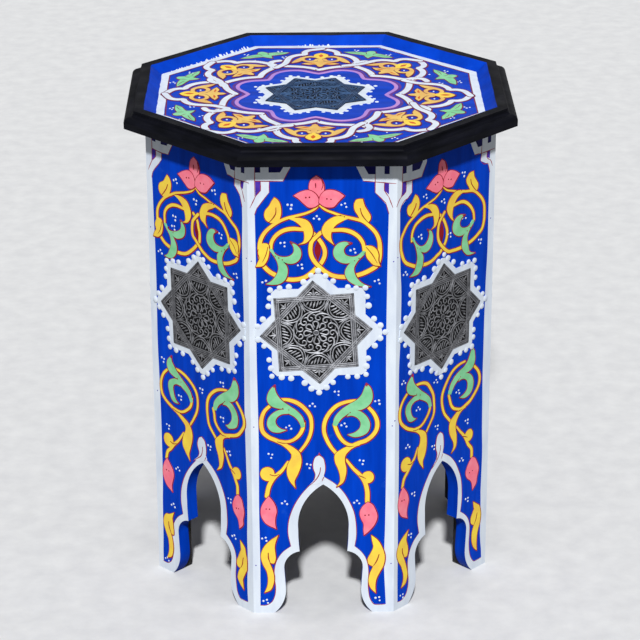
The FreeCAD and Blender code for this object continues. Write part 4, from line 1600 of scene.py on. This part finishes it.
def splashes(art):
    """Dabs of white that ran over the border, up the rim along the back of the board."""
    rough = art.random
    art.place = bevel_place
    start = border_outer - 1.0
    for direction, first, last, count in splash_rows:
        for step in range(count):
            v = first + (last - first) * (step + rough.uniform(-splash_scatter, splash_scatter)) / (count - 1)
            end = (start + rough.uniform(*splash_lengths), v + rough.uniform(-splash_lean, splash_lean))
            line = smooth(turned([(start, v), end], math.radians(direction)))
            art.ribbon(line, splash_widths, "white", art.level(1) + colour_rise, crown=0.1)
    art.place = top_place


def paint_top():
    art = Painting("painted_ornament_top", top_place, seed=5, wobble=top_wobble, line_colour="plum")
    rough = art.random
    reaches = (border_outer, border_inner)
    edges = [octagon(reach, rough, spread) for reach, spread in zip(reaches, board_border_rough)]
    art.prism(edges, "white", board_border_rise, free=False)
    inner = octagon(border_inner - 0.4, pieces=4)
    art.ribbon(inner + inner[:1], (board_line_width, board_line_width), "plum", board_line_rise, crown=0.0)
    splashes(art)
    lobed_line(art, "purple", 1, 2.9, 4.2)
    lobed_line(art, "lilac", 2, 4.0, 0.0)
    for index in range(8):
        sprig(art, index * TURN + HALF_TURN)
        angle = index * TURN + math.radians(frame_turns[index])
        cartouche(art, angle)
        palmette(art, angle)
    centre, radius, tilt = star_frame("star_plate_top", X_AXIS, Y_AXIS)
    star_border(art, centre, radius, tilt, border_width, 1, top_dot_radius)
    add_piece(art.name, art.mesh())


# Bluish, darker copy for the top star: a painted reflection of blue sky in the flat plate.
SKY_TINT_TONES = {
    "pewter_ground": metal("sky_tint_ground", (3, 9, 22), (8, 20, 40), 0.68, 0.82, 0.8),
    "pewter_band": metal("sky_tint_band", (9, 25, 58), (22, 46, 88), 0.64, 0.78, 0.75),
    "pewter_ridge": metal("sky_tint_ridge", (42, 72, 116), (92, 126, 170), 0.55, 0.7, 0.6),
}
# Brighter copy for the front star: a painted highlight where the key light falls square on the front plate.
FRONT_LIGHT_TONES = {
    "pewter_ground": metal("front_light_ground", (7, 7, 9), (16, 16, 19), 0.64, 0.8, 0.8),
    "pewter_band": metal("front_light_band", (76, 77, 82), (122, 123, 129), 0.55, 0.7, 0.6),
    "pewter_ridge": metal("front_light_ridge", (122, 124, 130), (206, 208, 214), 0.47, 0.64, 0.6),
}
place_stars()
paint_top()


# Materials of the wood and of the small metal pieces

PANEL_PAINT = panel_paint()
BOARD_PAINT = board_paint()
RIM_PAINT = rim_paint()
BARE_WOOD = bare_wood()
PIN_METAL = metal("dull_pin_steel", (90, 90, 92), (140, 140, 142), 0.4, 0.6, 0.9)

CLOTHES = {
    "side_panel": PANEL_PAINT,
    "rim_moulding": RIM_PAINT,
    "rim_brads": RIM_PAINT,
    "top_board": BOARD_PAINT,
    "corner_block": BARE_WOOD,
    "top_cleat": BARE_WOOD,
    "star_plate": PAINTS["band"],
}

for node_name, node_object in nodes.items():
    fitting = [material for start, material in CLOTHES.items() if node_name.startswith(start)]
    node_object.data.materials.clear()
    node_object.data.materials.append(fitting[0] if fitting else PIN_METAL)


# Camera, lights and floor

camera_place = (-0.02717, -2.4691, 1.3258)
camera_pitch = math.radians(23.39)
camera_yaw = math.radians(0.67)
camera_roll = math.radians(-0.20)
camera_lens = 141.33
image_size = 640
camera_shift = (-2.3, -0.8)


def place_camera():
    forward = Vector((
        math.sin(camera_yaw) * math.cos(camera_pitch),
        math.cos(camera_yaw) * math.cos(camera_pitch),
        -math.sin(camera_pitch),
    ))
    level = Vector((math.cos(camera_yaw), -math.sin(camera_yaw), 0))
    upright = level.cross(forward)
    right = level * math.cos(camera_roll) + upright * math.sin(camera_roll)
    up = upright * math.cos(camera_roll) - level * math.sin(camera_roll)
    data = bpy.data.cameras.new("camera")
    data.lens = camera_lens
    data.shift_x = camera_shift[0] / image_size
    data.shift_y = camera_shift[1] / image_size
    camera = bpy.data.objects.new("camera", data)
    bpy.context.scene.collection.objects.link(camera)
    rotation = Matrix((right, up, -forward)).transposed()
    camera.matrix_world = Matrix.Translation(camera_place) @ rotation.to_4x4()
    bpy.context.scene.camera = camera


floor_radius = 9.0
floor_sides = 64

# The floor as the camera sees it, and the darker floor whose light comes back up on the table.
floor_tones = (linear(214, 215, 217), linear(226, 227, 228))
floor_bounce = linear(140, 139, 137)


def ray_is(tree, kind):
    return add(tree, "ShaderNodeLightPath").outputs[kind]


def mirrored_ray(tree):
    return maths(tree, "MAXIMUM", ray_is(tree, "Is Glossy Ray"), ray_is(tree, "Is Transmission Ray"))


def make_floor():
    mesh = bpy.data.meshes.new("floor")
    ring = circle((0, 0), floor_radius, floor_sides)
    mesh.from_pydata([(x, y, 0) for x, y in ring], [], [tuple(range(len(ring)))])
    floor = bpy.data.objects.new("floor", mesh)
    bpy.context.scene.collection.objects.link(floor)
    material, tree, shader = new_material("pale_floor")
    pale = two_tones(tree, noise(tree, 40, detail=6), *floor_tones)
    seen = maths(tree, "MAXIMUM", ray_is(tree, "Is Camera Ray"), mirrored_ray(tree))
    tree.links.new(mixed(tree, seen, floor_bounce, pale), shader.inputs["Base Color"])
    shader.inputs["Roughness"].default_value = 0.9
    mesh.materials.append(material)


# The sun stands high behind the camera, and a weak wide light behind the table reaches its rear faces. The
# sky is a little stronger where a glossy surface mirrors it.
key_elevation = math.radians(45)
key_direction = (0.02, math.cos(key_elevation), -math.sin(key_elevation))
key_energy, key_spread = 3.6, 4
fill_direction = (-0.2, -0.95, -0.22)
fill_energy, fill_spread = 0.5, 60
ambient_light = 0.2
mirrored_light = 0.3


def sun(name, direction, energy, spread):
    """A lamp that shines along a direction, its disc spread over some degrees."""
    light = bpy.data.lights.new(name, "SUN")
    light.energy = energy
    light.angle = math.radians(spread)
    lamp = bpy.data.objects.new(name, light)
    bpy.context.scene.collection.objects.link(lamp)
    lamp.rotation_mode = "QUATERNION"
    lamp.rotation_quaternion = Vector(direction).to_track_quat("-Z", "Y")


def make_lights():
    sun("key_light", key_direction, key_energy, key_spread)
    sun("back_fill_light", fill_direction, fill_energy, fill_spread)
    world = bpy.data.worlds.new("studio")
    world.use_nodes = True
    bpy.context.scene.world = world
    tree = world.node_tree
    background = tree.nodes["Background"]
    background.inputs["Color"].default_value = (1, 1, 1, 1)
    strength = ranged(tree, mirrored_ray(tree), 0.0, 1.0, ambient_light, mirrored_light)
    tree.links.new(strength, background.inputs["Strength"])


place_camera()
make_floor()
make_lights()

bpy.context.scene.view_settings.view_transform = "Standard"
